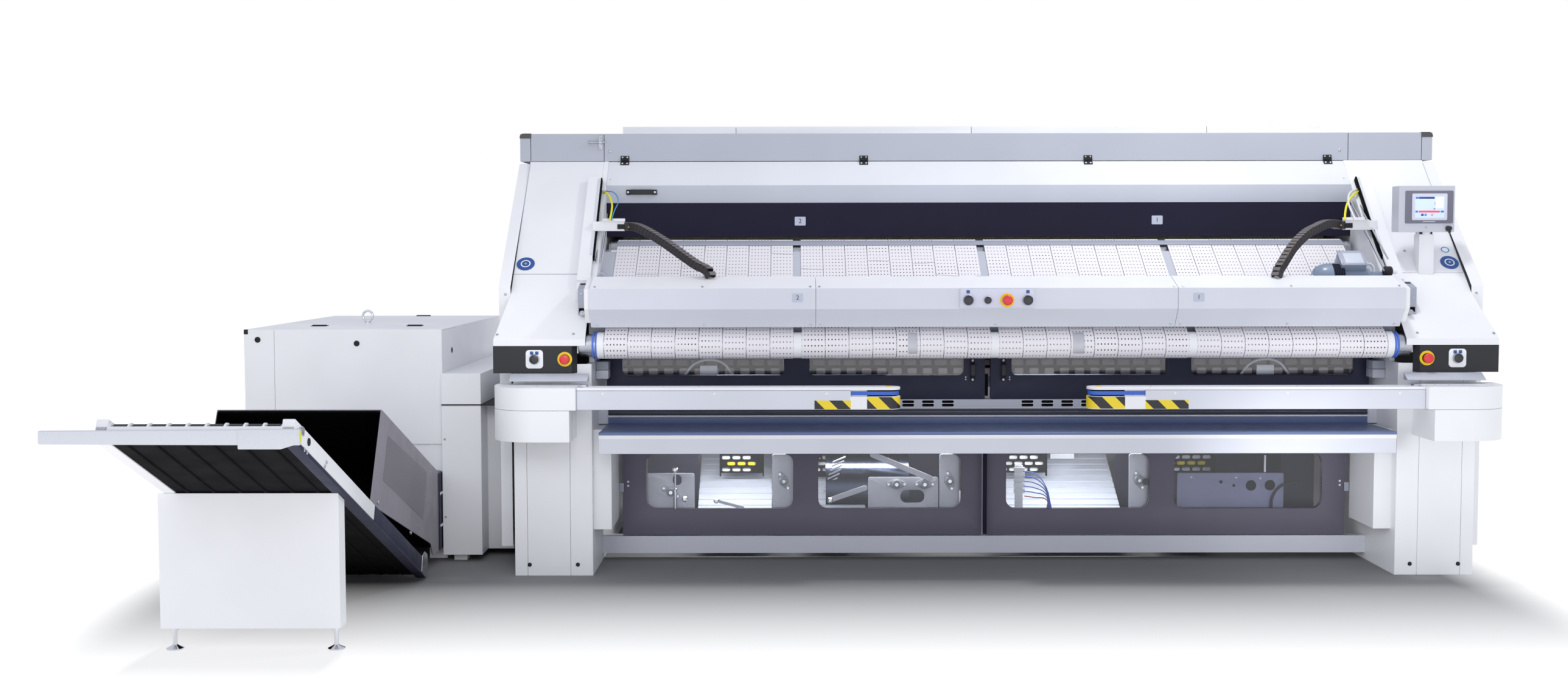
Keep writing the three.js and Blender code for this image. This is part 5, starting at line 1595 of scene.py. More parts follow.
# %% Scraper bar
BAR_SPAN = 1640
BAR_Y = (-452, -446)
SCRAPER_PITCH = 67
bar = block((-BAR_SPAN - 64, BAR_SPAN + 64), BAR_Y, (836, 906), 1.0)
piece("scraper_bar", bar, DARK_INSIDE)
pad_places = [i * SCRAPER_PITCH for i in range(-24, 25)]
# The upper row's darker rubber is painted shade
for row, left, right, out, heights, radius, rubber in (
    ("upper", 27, 27, 13, (876, 903), 5.0, SCRAPER_SHADE),
    ("lower", 13, 29, 18, (838, 866), 6.0, SCRAPER),
):
    pads = [
        block((x - left, x + right), (BAR_Y[0] - out, BAR_Y[0]), heights, radius)
        for x in pad_places
    ]
    piece(f"scraper_pads_{row}", merged(*pads), rubber)
HOSE_ARCH = ((-105, 838), (-62, 885), (0, 903), (62, 888), (105, 838))
for side, sign in SIDES:
    middle = sign * 1222
    sensor = block((middle - 38, middle + 38), (-482, -470), (836, 878), 2.0)
    piece(f"sensor_box_{side}", sensor, WHITE_ABS)
    arch = [(middle + x, -474, z) for x, z in HOSE_ARCH]
    cable(f"sensor_hose_{side}", arch, 5.5, GREY_CABLE)
print("scraper pads:", 2 * len(pad_places))

# %% [markdown]
# A flange bearing is a cast rhombic plate with a round nose, two bolts and the shaft's end in its
# middle. Every bearing here is the same shape turned to its own angle.

# %% Bearings and machine plates
PLATE_Y = -350


def flange_bearing(x, z, angle):
    """The cast body and its bolts, on the front of a plate."""
    outline = [
        *arc((36, 0), 9, -60, 60, 4), *arc((0, 0), 24, 60, 120, 2),
        *arc((-36, 0), 9, 120, 240, 4), *arc((0, 0), 24, 240, 300, 2),
    ]
    body = prism("y", outline, (-9, 0), 1.5)
    nose = turned("y", [(-9, 0), (-9, 21), (-16, 19), (-17, 15), (-13, 13), (-13, 0)], (0, 0), 28)
    shaft = turned(
        "y", [(-12, 0), (-12, 9.5), (-24, 9.5), (-26, 8), (-26, 3), (-22, 3), (-22, 0)], (0, 0), 20
    )
    bolts = [turned("y", [(-9, 0), (-9, 7), (-15, 6.5), (-15, 0)], (s * 36, 0), 6) for s in (-1, 1)]
    lie = Matrix.Translation((x, PLATE_Y, z)) @ Matrix.Rotation(math.radians(angle), 4, "Y")
    return moved(merged(body, nose), lie), moved(merged(shaft, *bolts), lie)


machine_plates = (
    # span in X, height, holes
    ((-1512, -1294), (107, 384), [((-1392, -1352), (330, 378))]),
    ((-945, -838), (107, 470), []),
    ((-515, -200), (107, 366), [((-370, -262), (250, 308))]),
    ((-195, -106), (107, 470), []),
    ((655, 762), (107, 470), []),
)
sheets = []
for span, heights, openings in machine_plates:
    outline = rounded_rectangle(span, heights, 10, 3)
    holes = [rounded_rectangle(x, z, min(x[1] - x[0], z[1] - z[0]) * 0.46, 4) for x, z in openings]
    sheets.append(plate("y", outline, holes, (PLATE_Y, PLATE_Y + 5), 0.6))
piece("machine_plates", merged(*sheets), SATIN_STEEL)
cast, bright = [], []
for x, z, angle in (
    (-893, 350, 60), (-150, 350, 75), (-388, 335, 0), (-262, 335, 0), (698, 352, 65),
    (-1400, 300, 30),
):
    body, metal_parts = flange_bearing(x, z, angle)
    cast.append(body)
    bright.append(metal_parts)
piece("bearing_castings", merged(*cast), CAST)
piece("bearing_shafts", merged(*bright), CHROME)
plate_screws = [
    (x, PLATE_Y, z, "front")
    for span, heights, _ in machine_plates
    for x in (span[0] + 14, span[1] - 14)
    for z in (heights[1] - 16, 246)
]
screws("plate_screws", plate_screws, ZINC, radius=4)
print("machine plates:", len(machine_plates))

# %% [markdown]
# The ribbed tables are sheets of extruded aluminium. Their ribs are steps in the outline, which is
# then pushed along X.

# %% Ribbed tables
def ribbed_table(span, low, high, ribs, depth=11.0):
    """A sheet between two (Y, Z) points, with a narrow groove beside each broad rib."""
    run = Vector((high[0] - low[0], high[1] - low[1]))
    square = Vector((-run.y, run.x)).normalized()
    points = []
    for i in range(ribs):
        for part, rise in ((0.0, 0), (0.2, 0), (0.22, depth), (0.98, depth)):
            spot = Vector(low) + run * ((i + part) / ribs) + square * rise
            points.append(tuple(spot))
    points.append(high)
    under = [tuple(Vector(p) - square * 3) for p in (high, low)]
    return prism("x", points + under, span)


TABLE_SPANS = ((-1288, -950), (-832, -520), (90, 650), (770, 892))
piece(
    "ribbed_tables",
    merged(*(ribbed_table(span, (-318, 110), (190, 395), 13) for span in TABLE_SPANS)),
    RIBBED_ALUMINIUM,
)
rails = [block((x - 2, x + 6), (-330, 130), (107, 190), 1.0) for span in TABLE_SPANS for x in span]
piece("table_rails", merged(*rails), MID_GREY)

# Slotted guards hang over the tables, the outer two with a yellow bar behind them
GRID_Y, GRID_Z = -62, (346, 446)
GRID_SPANS = ((-1190, -990), (-770, -560), (100, 330), (760, 1110))
HOLE_STEP = 48
grids = []
for left, right in GRID_SPANS:
    holes = [
        rounded_rectangle((x, x + 38), (z, z + 17), 7, 3)
        for z, start in ((354, 8), (382, 32), (410, 8))
        for x in range(left + start, right - 4 - HOLE_STEP, HOLE_STEP)
    ]
    outline = rounded_rectangle((left, right), GRID_Z, 4, 2)
    grids.append(plate("y", outline, holes, (GRID_Y, GRID_Y + 3)))
piece("slotted_grids", merged(*grids), DARK_INSIDE)
backing = [
    block((left + 3, right - 3), (GRID_Y + 18, GRID_Y + 20), (350, 442), 0.5)
    for left, right in GRID_SPANS
]
piece("grid_backing", merged(*backing), WHITE)
yellow = [
    block((left + 30, right - 40), (GRID_Y + 9, GRID_Y + 12), (379, 404), 1.0)
    for left, right in (GRID_SPANS[0], GRID_SPANS[3])
]
piece("grid_yellow_bars", merged(*yellow), YELLOW_DISC)
hangers = [
    block((x - 3, x + 3), (GRID_Y, GRID_Y + 22), (330, 500), 0.5)
    for span in GRID_SPANS
    for x in span
]
piece("grid_hangers", merged(*hangers), DARK_INSIDE)
# Dark sheets behind the windows and behind the gaps between the doors are painted shade inside the
# machine
shade_sheets = [
    block((a, b), (y, y + 3), (60, 520), 0.5)
    for a, b,
    y in (
        (-1530, -1292, -35), (-948, -836, -35), (-735, -90, 25), (654, 768, -35), (894, 1520, -35)
    )
]
shade_sheets.append(block((1352, 1500), (-300, -297), (200, 490), 0.5))
shade_sheets += [
    block((-9, 9), (-428, -425), (120, 520), 0.5), block((-9, 9), (-448, -446), (740, 990), 0.5)
]
piece("dark_shade_sheets", merged(*shade_sheets), BLUE_BLACK_AND_SHADE)
print("ribbed tables:", len(TABLE_SPANS))

# %% [markdown]
# Levers, an air cylinder and a terminal block hang in front of the plates. The right window shows a
# darker plate with two round holes, and a black hose in front of it.

# %% Levers, cylinder and wires
FRONT_Y = -362


def flat_bar(a, b, width, y=FRONT_Y, thickness=4):
    """A flat lever between two (X, Z) points, with round ends."""
    run = Vector((b[0] - a[0], b[1] - a[1]))
    angle = math.degrees(math.atan2(run.y, run.x))
    outline = [
        *arc(b, width / 2, angle - 90, angle + 90, 6),
        *arc(a, width / 2, angle + 90, angle + 270, 6),
    ]
    return prism("y", outline, (y, y + thickness), 0.8, 1, 60)


bars = [
    flat_bar((-1196, 262), (-1078, 230), 14), flat_bar((-495, 468), (-240, 362), 26),
    flat_bar((-686, 264), (-530, 318), 24), flat_bar((-1452, 300), (-1392, 282), 20),
]
bars += [
    flat_bar((-712 + 6 * i, 300 + 19 * i), (-668 + 7 * i, 322 + 19 * i), 7, -340) for i in range(8)
]
piece("levers", merged(*bars), SATIN_STEEL)
JOINT = [(-374, 0), (-374, 7), (-366, 13), (-358, 13), (-358, 0)]
joints_at = ((-1380, 403), (-1338, 270), (-1196, 262), (-686, 264))
joints = [turned("y", JOINT, at, 20) for at in joints_at]
CYLINDER_AT = (-1380, FRONT_Y)
air_cylinder = merged(
    rod("z", 4, (300, 400), CYLINDER_AT, 14), rod("z", 9, (224, 318), CYLINDER_AT, 20, 1.5)
)
piece("lever_joints", merged(*joints, air_cylinder), CHROME)
drum = [*arc((-170, 300), 178, 200, 95, 14), *arc((-170, 300), 172, 95, 200, 14)]
piece("polished_drum_sheet", prism("x", drum, (-705, -330)), DARK_STEEL)

plate_holes = [arc(centre, 24, 0, 350, 20) for centre in ((1203, 326), (1288, 327))]
plate_holes += [arc(*hole, 0, 330, 11) for hole in (((1068, 342), 8), ((1126, 326), 7))]
far_plate = plate(
    "y", rounded_rectangle((873, 1349), (107, 383), 8, 3), plate_holes, (PLATE_Y, PLATE_Y + 5), 0.6
)
piece("far_plate", far_plate, SLATE_COAT)
screws(
    "far_plate_screws",
    [(x, PLATE_Y, z, "front") for x, z in ((935, 364), (1136, 362), (1244, 358))], WHITE_ABS,
    radius=4,
)
cable(
    "black_hose", [(1290, -364, 224), (1296, -364, 280), (1340, -364, 330), (1420, -364, 342)], 6.5,
    SOFT_BLACK,
)

terminal = [block((138, 186), (-366, -354), (z, z + 19), 1.5) for z in range(296, 415, 24)]
piece(
    "terminal_rows", merged(*terminal, block((142, 178), (-360, -352), (224, 420), 1.0)), WHITE_ABS
)
for number in range(6):
    height = 392 - number * 22
    way = [
        (184, -366, height), (226, -368, height - 6),
        (276 + number * 2, -366, height - 60 + number * 8), (306 - number * 4, -364, 228),
    ]
    cable(f"terminal_wire_{number}", way, 2.4, RED_CABLE if number == 5 else BLUE_BELT)
knob = stud("y", PLATE_Y, -1, [(0, 0), (0, 13), (12, 16), (20, 15), (20, 0)], (729, 345))
piece("black_knob", knob, SOFT_BLACK)
uprights = [
    block((374, 488), (112, 118), (388, 470), 1.0),
    block((1262, 1270), (-345, -340), (386, 462), 0.8),
]
piece("pale_uprights", merged(*uprights), WHITE)
print("levers:", len(bars))

# %% [markdown]
# ## Folder and drive cabinet
#
# The folder's housing is plain folded sheet. Its hinged front cover has a seam near the left end,
# round quarter-turn locks, two strap hinges on top and a lifting eye. A narrow cabinet with its own
# lid stands between it and the ironer.

# %% Folder
folder_low, folder_high = reach("folder_cover")
housing_high = reach("folder_housing")[1]
COVER_SEAM = -3156
dress("folder_housing", WHITE, 2.5)
dress("folder_cover", WHITE, 4.0, [((COVER_SEAM, 0, 0), across)], 0.7)
dress("drive_cabinet", WHITE, 2.5)
dress("transfer_cover", WHITE, 2.5)
cabinet_low, cabinet_high = reach("drive_cabinet")
for node in ("fold_roller_lower", "fold_roller_upper"):
    dress(node, TURNED_STEEL)
corner = block(
    (folder_low.x - 0.6, folder_low.x + 20), (folder_low.y - 0.8, folder_low.y + 14),
    (folder_high.z - 22, folder_high.z + 0.6), 3.0,
)
piece("folder_corner_cap", corner, SOFT_BLACK, "folder_cover")


def cam_lock(place, axis, out):
    """A round quarter-turn lock with a slot for its key, on a face across an axis."""
    steps = [(0, 0), (0, 13), (1.5, 13), (2.2, 11), (2.2, 6), (0.8, 5.5), (0.8, 0)]
    face, centre = (place.x, place.yz) if axis == "x" else (place.y, place.xz)
    return stud(axis, face, out, steps, centre, 28)


locks = [cam_lock(Vector((x, folder_low.y, z)), "y", -1) for x, z in ((-3229, 990), (-2789, 973))]
piece("folder_cover_locks", merged(*locks), SOFT_BLACK, "folder_cover")
piece(
    "folder_side_lock", cam_lock(Vector((folder_high.x, -179, 930)), "x", 1), SOFT_BLACK,
    "folder_cover",
)
hinge_line = pivot_of("folder_cover")
SEAM_LINE = hinge_line.y
straps, pads = [], []
strap_z = (folder_high.z, folder_high.z + 2.5)
for x in (-3045, -2603):
    strap_x = (x - 34, x + 34)
    straps.append(block(strap_x, (SEAM_LINE - 32, SEAM_LINE - 3), strap_z, 1.0))
    pads.append(block(strap_x, (SEAM_LINE + 4, SEAM_LINE + 32), strap_z, 1.0))
    pads.append(rod("x", 3.4, strap_x, (SEAM_LINE, hinge_line.z), 14, 0.8))
piece("folder_hinge_straps", merged(*straps), SOFT_BLACK, "folder_cover")
piece("folder_hinge_pads", merged(*pads), SOFT_BLACK)
rear_catch = block((-2842, -2770), (1040, 1066), (housing_high.z, housing_high.z + 5), 2.0)
piece("folder_rear_catch", rear_catch, SOFT_BLACK)

EYE = Vector((-2900, 250, housing_high.z))
eye = bmesh.new()
bmesh.ops.create_circle(eye, cap_ends=False, radius=5.5, segments=12)
moved(eye, Matrix.Translation((24, 0, 0)) @ Matrix.Rotation(math.pi / 2, 4, "X"))
bmesh.ops.spin(
    eye, geom=[*eye.verts, *eye.edges], cent=(0, 0, 0), axis=(0, 0, 1), angle=2 * math.pi, steps=32,
    use_merge=True
)
bmesh.ops.remove_doubles(eye, verts=eye.verts, dist=1e-3)
bmesh.ops.recalc_face_normals(eye, faces=eye.faces)
moved(eye, Matrix.Translation(EYE + Vector((0, 0, 34))) @ Matrix.Rotation(math.pi / 2, 4, "X"))
foot = stud("z", EYE.z, 1, [(0, 0), (0, 16), (5, 15), (8, 8), (8, 0)], EYE.xy)
piece("folder_lifting_eye", merged(eye, foot), CHROME)

cabinet_screws = ((-2398, -427, 548), (-2398, -427, 200), (-2150, -270, 655), (-2150, -270, 90))
screws("cabinet_screws", [(*spot, "front") for spot in cabinet_screws], ZINC, radius=5)
shadow_line = block(
    (cabinet_low.x - 0.6, cabinet_high.x + 0.6), (cabinet_low.y - 0.6, cabinet_high.y), (698, 704)
)
piece("cabinet_lid_gap", shadow_line, SOFT_BLACK)
vents = [louvre(1099, 640 + 26 * row, 2.5, 15, (-3180, -2520), 0.8) for row in range(10)]
piece("folder_back_louvres", merged(*vents), WHITE)
print("folder cover seam at", COVER_SEAM)

# %% [markdown]
# ## Tunnel of the stacker
#
# The tunnel is dark sheet. Its sides have a field of fine holes, 11 mm apart, drawn as a pattern of
# dots that is bounded by a slanting outline. Two bolted angles hold it to the folder.

# %% Tunnel
def perforated_sheet(name, colour, pitch_mm=11.0, hole_mm=5.6):
    """Dark sheet with round holes on a square grid turned by 25 degrees, in the plane of Y and Z.
    """
    material, output = blank(name, "charcoal_paint")
    shader = principled(material, roughness=0.36, metallic=0.35)
    place = add(material, "TexCoord")
    lean = Matrix.Rotation(math.radians(-25), 3, "X").to_euler()
    scaled = add(
        material, "Mapping", {"Rotation": lean, "Scale": (1 / (pitch_mm * MILLIMETRE),) * 3},
        {"Vector": place.outputs["Object"]},
    )
    parts = add(material, "SeparateXYZ", links={0: scaled.outputs[0]})
    off = [wrapped(material, parts.outputs[side], 1.0) for side in ("Y", "Z")]
    both = add(material, "CombineXYZ", links={0: off[0], 1: off[1]})
    far = add(material, "VectorMath", links={0: both.outputs[0]}, operation="LENGTH")
    radius = hole_mm / pitch_mm / 2
    hole = add(
        material, "MapRange", {"From Min": radius * 1.15, "From Max": radius * 0.85},
        {"Value": far.outputs["Value"]},
        clamp=True,
    )
    tint = between(material, hole.outputs[0], linear(colour), linear("#1D1C22"))
    join(material, tint, shader.inputs["Base Color"])
    dip = add(material, "Math", {1: -1.0}, {0: hole.outputs[0]}, operation="MULTIPLY")
    bumped(material, shader, dip.outputs[0], 0.4, 0.6)
    return surface(material, output, shader)


SHEET_GREY = powder_coat("dark_grey_smooth_coat", "charcoal_paint", "#85818A", 0.32, 4.0, 0.08)
PERFORATED = perforated_sheet("perforated_dark_sheet", "#88848D")
tunnel_low, tunnel_high = reach("stack_tunnel")
dress("stack_tunnel", SHEET_GREY, 1.0)
FIELD = [(-1388, 672), (-703, 440), (-790, 248), (-1476, 512)]
TUNNEL_SIDES = (("right", 1, tunnel_high.x), ("left", -1, tunnel_low.x))
SKIN, INNER_OFFSET = 0.8, 4.5
for side, out, x in TUNNEL_SIDES:
    piece(f"tunnel_holes_{side}", prism("x", FIELD, outward(x, out, SKIN)), PERFORATED)
# Near-black skins inside the tunnel's sides, at its back and under its top are painted shade
inside = [
    (-1486, 776), (-1664, 448), (-640, 121), (-600, 66), (-396, 66), (-396, 396), (-505, 413),
]
for side, out, x in TUNNEL_SIDES:
    skin = prism("x", inside, outward(x - out * INNER_OFFSET, -out, SKIN))
    piece(f"tunnel_shade_skin_{side}", skin, DARK_INSIDE)
back_shade_skin = block((tunnel_low.x + 6, tunnel_high.x - 6), (-408, -404), (60, 400), 0.5)
piece("tunnel_back_shade_skin", back_shade_skin, DARK_INSIDE)
ceiling = prism(
    "x", [(-1484, 775), (-505, 414), (-398, 396), (-398, 394), (-506, 411), (-1484, 773)],
    (tunnel_low.x + 5, tunnel_high.x - 5),
)
piece("tunnel_ceiling", ceiling, DARK_INSIDE)

angles, bolts = [], []
for side, out, x in TUNNEL_SIDES:
    angles.append(block(outward(x + out * 0.5, out, 4.5), (-470, -400), (60, 400), 1.0))
    angles.append(block(outward(x, out, 14), (-404, -400.2), (60, 400), 1.0))
    bolts += [(x + out * 5, y, z, side) for z in (309, 166) for y in (-452, -424)]
piece("tunnel_angles", merged(*angles), CHARCOAL)
screws("tunnel_angle_bolts", bolts, WHITE_ABS, radius=7)
ramp_bolts = [(tunnel_high.x, -1558, 440, "right"), (tunnel_high.x, -1025, 232, "right")]
screws("tunnel_side_bolts", ramp_bolts, ZINC, radius=9)
print("tunnel dressed")

# %% [markdown]
# ## Ramp
#
# The ramp is two side rails with a dark tray between them. Above the tunnel's mouth the rails are
# white. Belts run on top, round a head roller that white separators divide into nine tracks. All of
# it is modelled flat and then leaned back to the ramp's angle.

# %% Ramp
FOOT_AT, HEAD_AT = pivot_of("ramp_foot_roller"), pivot_of("ramp_head_roller")
RAMP_RUN = math.hypot(FOOT_AT.y - HEAD_AT.y, HEAD_AT.z - FOOT_AT.z)
RAMP_ANGLE = math.atan2(HEAD_AT.z - FOOT_AT.z, FOOT_AT.y - HEAD_AT.y)
to_ramp = Matrix.Translation((0, FOOT_AT.y, FOOT_AT.z)) @ Matrix.Rotation(-RAMP_ANGLE, 4, "X")
RAMP_SPAN = (FOOT_AT.x - 310, FOOT_AT.x + 310)
RAIL_WIDTH, RAIL_HALF = 40, 36
RAMP_ENDS = (-RAMP_RUN - 34, 34)
TUNNEL_MEETS = -915
DARK_EDGE = 14


def on_ramp(*shapes):
    return moved(merged(*shapes), to_ramp)


rail_sides = ((RAMP_SPAN[0], RAMP_SPAN[0] + RAIL_WIDTH), (RAMP_SPAN[1] - RAIL_WIDTH, RAMP_SPAN[1]))
white_rails = [
    block(x, (RAMP_ENDS[0], TUNNEL_MEETS), (-RAIL_HALF + DARK_EDGE, RAIL_HALF), 3.0)
    for x in rail_sides
]
front_strip = block(
    (RAMP_SPAN[0] + 2, RAMP_SPAN[1] - 2), (RAMP_ENDS[0], RAMP_ENDS[0] + 6), (-RAIL_HALF, 12), 1.0
)
left_sole, rail_sole = (
    block(x, (RAMP_ENDS[0] + 8, RAMP_ENDS[1]), (-RAIL_HALF, -RAIL_HALF + DARK_EDGE - 0.5), 1.5)
    for x in rail_sides
)
piece("ramp_rails", on_ramp(*white_rails, front_strip, left_sole), WHITE, "root", ["ramp_frame"])
dark_rails = [
    block(x, (TUNNEL_MEETS, RAMP_ENDS[1]), (-RAIL_HALF + DARK_EDGE, RAIL_HALF), 3.0)
    for x in rail_sides
]
piece("ramp_dark_rails", on_ramp(*dark_rails, rail_sole), CHARCOAL)
tray = block(
    (rail_sides[0][1], rail_sides[1][0]), (RAMP_ENDS[0] + 10, RAMP_ENDS[1] - 60),
    (-RAIL_HALF + 4, -RAIL_HALF + 8),
)
rib_span = (RAMP_ENDS[0] + 12, RAMP_ENDS[1] - 62)
rib = ((-7, 4), (-4, 0), (4, 0), (7, 4))
ribs = [
    prism("y", [(RAMP_SPAN[0] + 85 + i * 90 + x, z - RAIL_HALF) for x, z in rib], rib_span, 0.6)
    for i in range(6)
]
piece("ramp_tray", on_ramp(tray, *ribs), DARK_INSIDE)
dress("ramp_foot_roller", TURNED_STEEL)
dress("ramp_head_roller", TURNED_STEEL)

TRACKS = 9
track_pitch = (rail_sides[1][0] - rail_sides[0][1]) / TRACKS
track_middles = [rail_sides[0][1] + (i + 0.5) * track_pitch for i in range(TRACKS)]
RAMP_BELT_INSIDE = 26.6
ramp_strips = [
    moved(
        belt_strip(x - 20, x + 20, RAMP_RUN, RAMP_BELT_INSIDE, 2, 0),
        Matrix.Translation((0, -RAMP_RUN, 0)),
    )
    for x in track_middles
]
RIBBED_BELT = plastic("dark_ribbed_belt", "black_plastic", "#242429", 0.5, 4.0, 0.2)
piece("ramp_belt_strips", on_ramp(*ramp_strips), RIBBED_BELT, "root", ["ramp_belts"])
separators = []
for i in range(TRACKS + 1):
    x = rail_sides[0][1] + i * track_pitch
    nose = [(y - RAMP_RUN, z) for y, z in arc((0, 0), 32.5, 200, 60, 10)]
    outline = [*nose, (-RAMP_RUN + 60, 30), (-RAMP_RUN + 60, -24), (-RAMP_RUN - 20, -26)]
    separators.append(prism("x", outline, (x - 3.5, x + 3.5), 1.0))
piece("ramp_separators", on_ramp(*separators), WHITE_ABS)

ramp_side = RAMP_SPAN[1]
tension = [
    block((ramp_side, ramp_side + 4), (-RAMP_RUN + 36, -RAMP_RUN + 62), (8, 34), 1.5),
    stud("x", ramp_side, 1, [(0, 0), (0, 11), (5, 10), (5, 0)], (-RAMP_RUN, 4), 20),
]
piece("ramp_tension_blocks", on_ramp(*tension), ZINC)
steps = [(0, 0), (0, 13), (4, 12), (4, 0)]
black_stop = stud("x", ramp_side, 1, steps, (-RAMP_RUN + 125, 8))
piece("ramp_stop", on_ramp(black_stop), SOFT_BLACK)
BOLTS_AT = ((20, 22), (90, -28), (120, -28), (330, -14), (345, 4))
bolt_places = [to_ramp @ Vector((ramp_side, -RAMP_RUN + y, z)) for y, z in BOLTS_AT]
screws("ramp_bolts", [(*spot, "right") for spot in bolt_places], ZINC, radius=7)
SHOE = [(-70, -30), (-70, 38), (-40, 62), (10, 62), (34, 30), (34, -30), (10, -38)]
for (side, out), x in zip(SIDES, RAMP_SPAN):
    shoe = plate("x", SHOE, [], outward(x, out, 4), 0.8)
    piece(f"ramp_shoe_{side}", on_ramp(shoe), BRUSHED_STEEL)
print("ramp tracks:", TRACKS)

# %% [markdown]
# ## Leg and guard bar
#
# The leg is a closed white box on two levelling feet: a threaded stem on a round steel pad. The
# guard bar is a hollow plastic bumper with a round left end and a thicker cap on its right end.

# %% Leg and guard bar
leg_low, leg_high = reach("stacker_leg")
LEG_FOOT = 82
profile = [
    (leg_low.y, LEG_FOOT), (leg_high.y, LEG_FOOT), (leg_high.y, leg_high.z - 34.5),
    (leg_low.y, leg_high.z),
]
leg = prism("x", profile, (leg_low.x, leg_high.x))
piece("stacker_leg_box", leg, WHITE, "root", ["stacker_leg"], 2.5)
stands = []
for x in (leg_low.x + 32, leg_high.x - 28):
    y = leg_low.y + 50
    stands.append(turned("z", [(0, 0), (0, 30), (4, 30), (12, 14), (16, 9), (16, 0)], (x, y), 32))
    stands.append(
        turned(
            "z", [(14, 0), (14, 8), (66, 8), (66, 13), (76, 13), (76, 8), (82, 8), (82, 0)], (x, y),
            20,
        )
    )
piece("levelling_feet", merged(*stands), CHROME)

bar_low, bar_high = reach("guard_bar")
middle_z = (bar_low.z + bar_high.z) / 2
half = (bar_high.z - bar_low.z) / 2
round_end = arc((bar_low.x + half * 0.55, middle_z), half, 120, 240, 8)
bar_outline = [(max(x, bar_low.x), z) for x, z in round_end]
bar_outline += [(bar_high.x, bar_low.z), (bar_high.x, bar_high.z)]
# White polyethylene, darker: painted shade against the low front lamp that lights the bar most
GUARD_SHADE_WHITE = plastic("polyethylene_painted_shade", "white_paint", "#CFD2D9", 0.45)
piece(
    "guard_bar_body", prism("y", bar_outline, (bar_low.y + 3, bar_high.y), 3.0, 3), GUARD_SHADE_WHITE, "root",
    ["guard_bar"],
)
CAP_START, CAP_DROP = -2572, 12
cap_outline = [
    (CAP_START, bar_high.z + 1), (bar_high.x, bar_high.z + 1), (bar_high.x, bar_low.z + 6),
    (bar_high.x - 60, bar_low.z - CAP_DROP), (CAP_START, bar_low.z - CAP_DROP),
]
piece("guard_bar_cap", prism("y", cap_outline, (bar_low.y, bar_high.y + 0.1), 3.0), GUARD_SHADE_WHITE)
LIME = plastic("lime_reflector", "red_plastic", "#D9E021", 0.35)
piece(
    "guard_bar_reflector",
    block(
        (bar_high.x - 0.5, bar_high.x + 0.8), (bar_low.y + 2, bar_high.y - 1),
        (bar_low.z + 9, bar_high.z - 3),
    ),
    LIME,
)
print("stacker dressed")

# %% [markdown]
# ## Rails beside the hood, and the bracket of each cable chain
#
# A covered rail lies on each side of the opening, and two polished rods run beside it down to the
# beam. A folded plate closes the rail's lower end. On the right a small geared motor hangs from the
# side frame, with its terminal box leaning to the front.

# %% Rails and rods
RODS = {
    # (Y, Z) of the upper and lower end, by place across the machine and radius
    "left": [(-1699, 4, (-33, 1609), (-444, 1330)), (-1714, 4, (-60, 1640), (-480, 1330))],
    "right": [(1690, 6.5, (-171, 1599), (-621, 1290)), (1716, 4, (-131, 1632), (-578, 1342))],
}
END_PLATES = {"left": (-1768, -1724), "right": (1750, 1801)}


def leaning_rod(x, radius, top, foot):
    """A round bar between two (Y, Z) points."""
    run = Vector((0, top[0] - foot[0], top[1] - foot[1]))
    shape = rod("z", radius, (0, run.length), (0, 0), 20, 1.0)
    return moved(
        shape, Matrix.Translation((x, *foot)) @ run.to_track_quat("Z", "Y").to_matrix().to_4x4()
    )


for side, sign in SIDES:
    dress(f"rail_unit_{side}", WHITE, 2.0)
    piece(f"polished_rods_{side}", merged(*(leaning_rod(*one) for one in RODS[side])), CHROME)
    strip = moved(block((-4, 4), (-640, -150), (30, 33), 0.6), slope_matrix(sign * 1735, 0))
    groove = moved(block((-4, 4), (-650, -140), (3, 27), 0.5), slope_matrix(sign * 1726.5, 0))
    piece(f"rail_strip_{side}", strip, ANODISED)
    piece(f"rail_groove_{side}", groove, DARK_INSIDE)
    left, right = END_PLATES[side]
    profile = [(-690, 1109), (-690, 1222), (-612, 1246), (-612, 1240), (-684, 1217), (-684, 1109)]
    piece(f"rail_end_plate_{side}", prism("x", profile, (left, right), 1.5), MID_GREY)
    slot_lies = Matrix.Translation(((left + right) / 2, -634, 1239.8)) @ Matrix.Rotation(
        0.3, 4, "X"
    )
    slot = moved(block((-18, 18), (-6, 6), (0, 1.0), 0.3), slot_lies)
    shadow_gap = block((left + 4, right - 6), (-691, -689), (1118, 1139), 0.5)
    piece(f"rail_end_slots_{side}", merged(slot, shadow_gap), DARK_INSIDE)
    bolts = [(left + 14, -690, 1200, "front"), (right - 12, -690, 1178, "front")]
    screws(f"rail_end_bolts_{side}", bolts, ZINC, radius=5)
    clamp = turned(
        "y", [(-712, 0), (-712, 11), (-702, 12.5), (-694, 12.5), (-688, 6), (-680, 6), (-680, 0)],
        (left + 20, 1118), 16,
    )
    piece(f"rail_clamp_{side}", clamp, CAST)

half_ring = [*arc((-1670, 1271), 20, 0, 180, 14), *arc((-1670, 1271), 12.5, 180, 0, 14)]
piece("rod_ring_left", prism("y", half_ring, (-668, -648), 1.5, 2, 40), MID_GREY)
clamp_body = turned(
    "x", [(1686, 9), (1686, 19), (1690, 21), (1716, 21), (1720, 18), (1720, 9), (1686, 9)],
    (-612, 1290), 28,
)
piece("rod_clamp_right", clamp_body, SOFT_BLACK)
piece("rod_clamp_plug_right", rod("x", 12, (1720, 1742), (-612, 1290), 24, 3.0), WHITE_ABS)
screws(
    "frame_inner_screws", [(-1704.5, -222, 1327, "right"), (1704.5, -250, 1340, "left")], ZINC,
    radius=6,
)
print("rods and rails on", len(RODS), "sides")

# %% [markdown]
# The motor is cast aluminium with enamel: a round end bell, cooling fins and a terminal box whose
# pale lid is held by four screws. A grey hose carries its wires to the side frame.

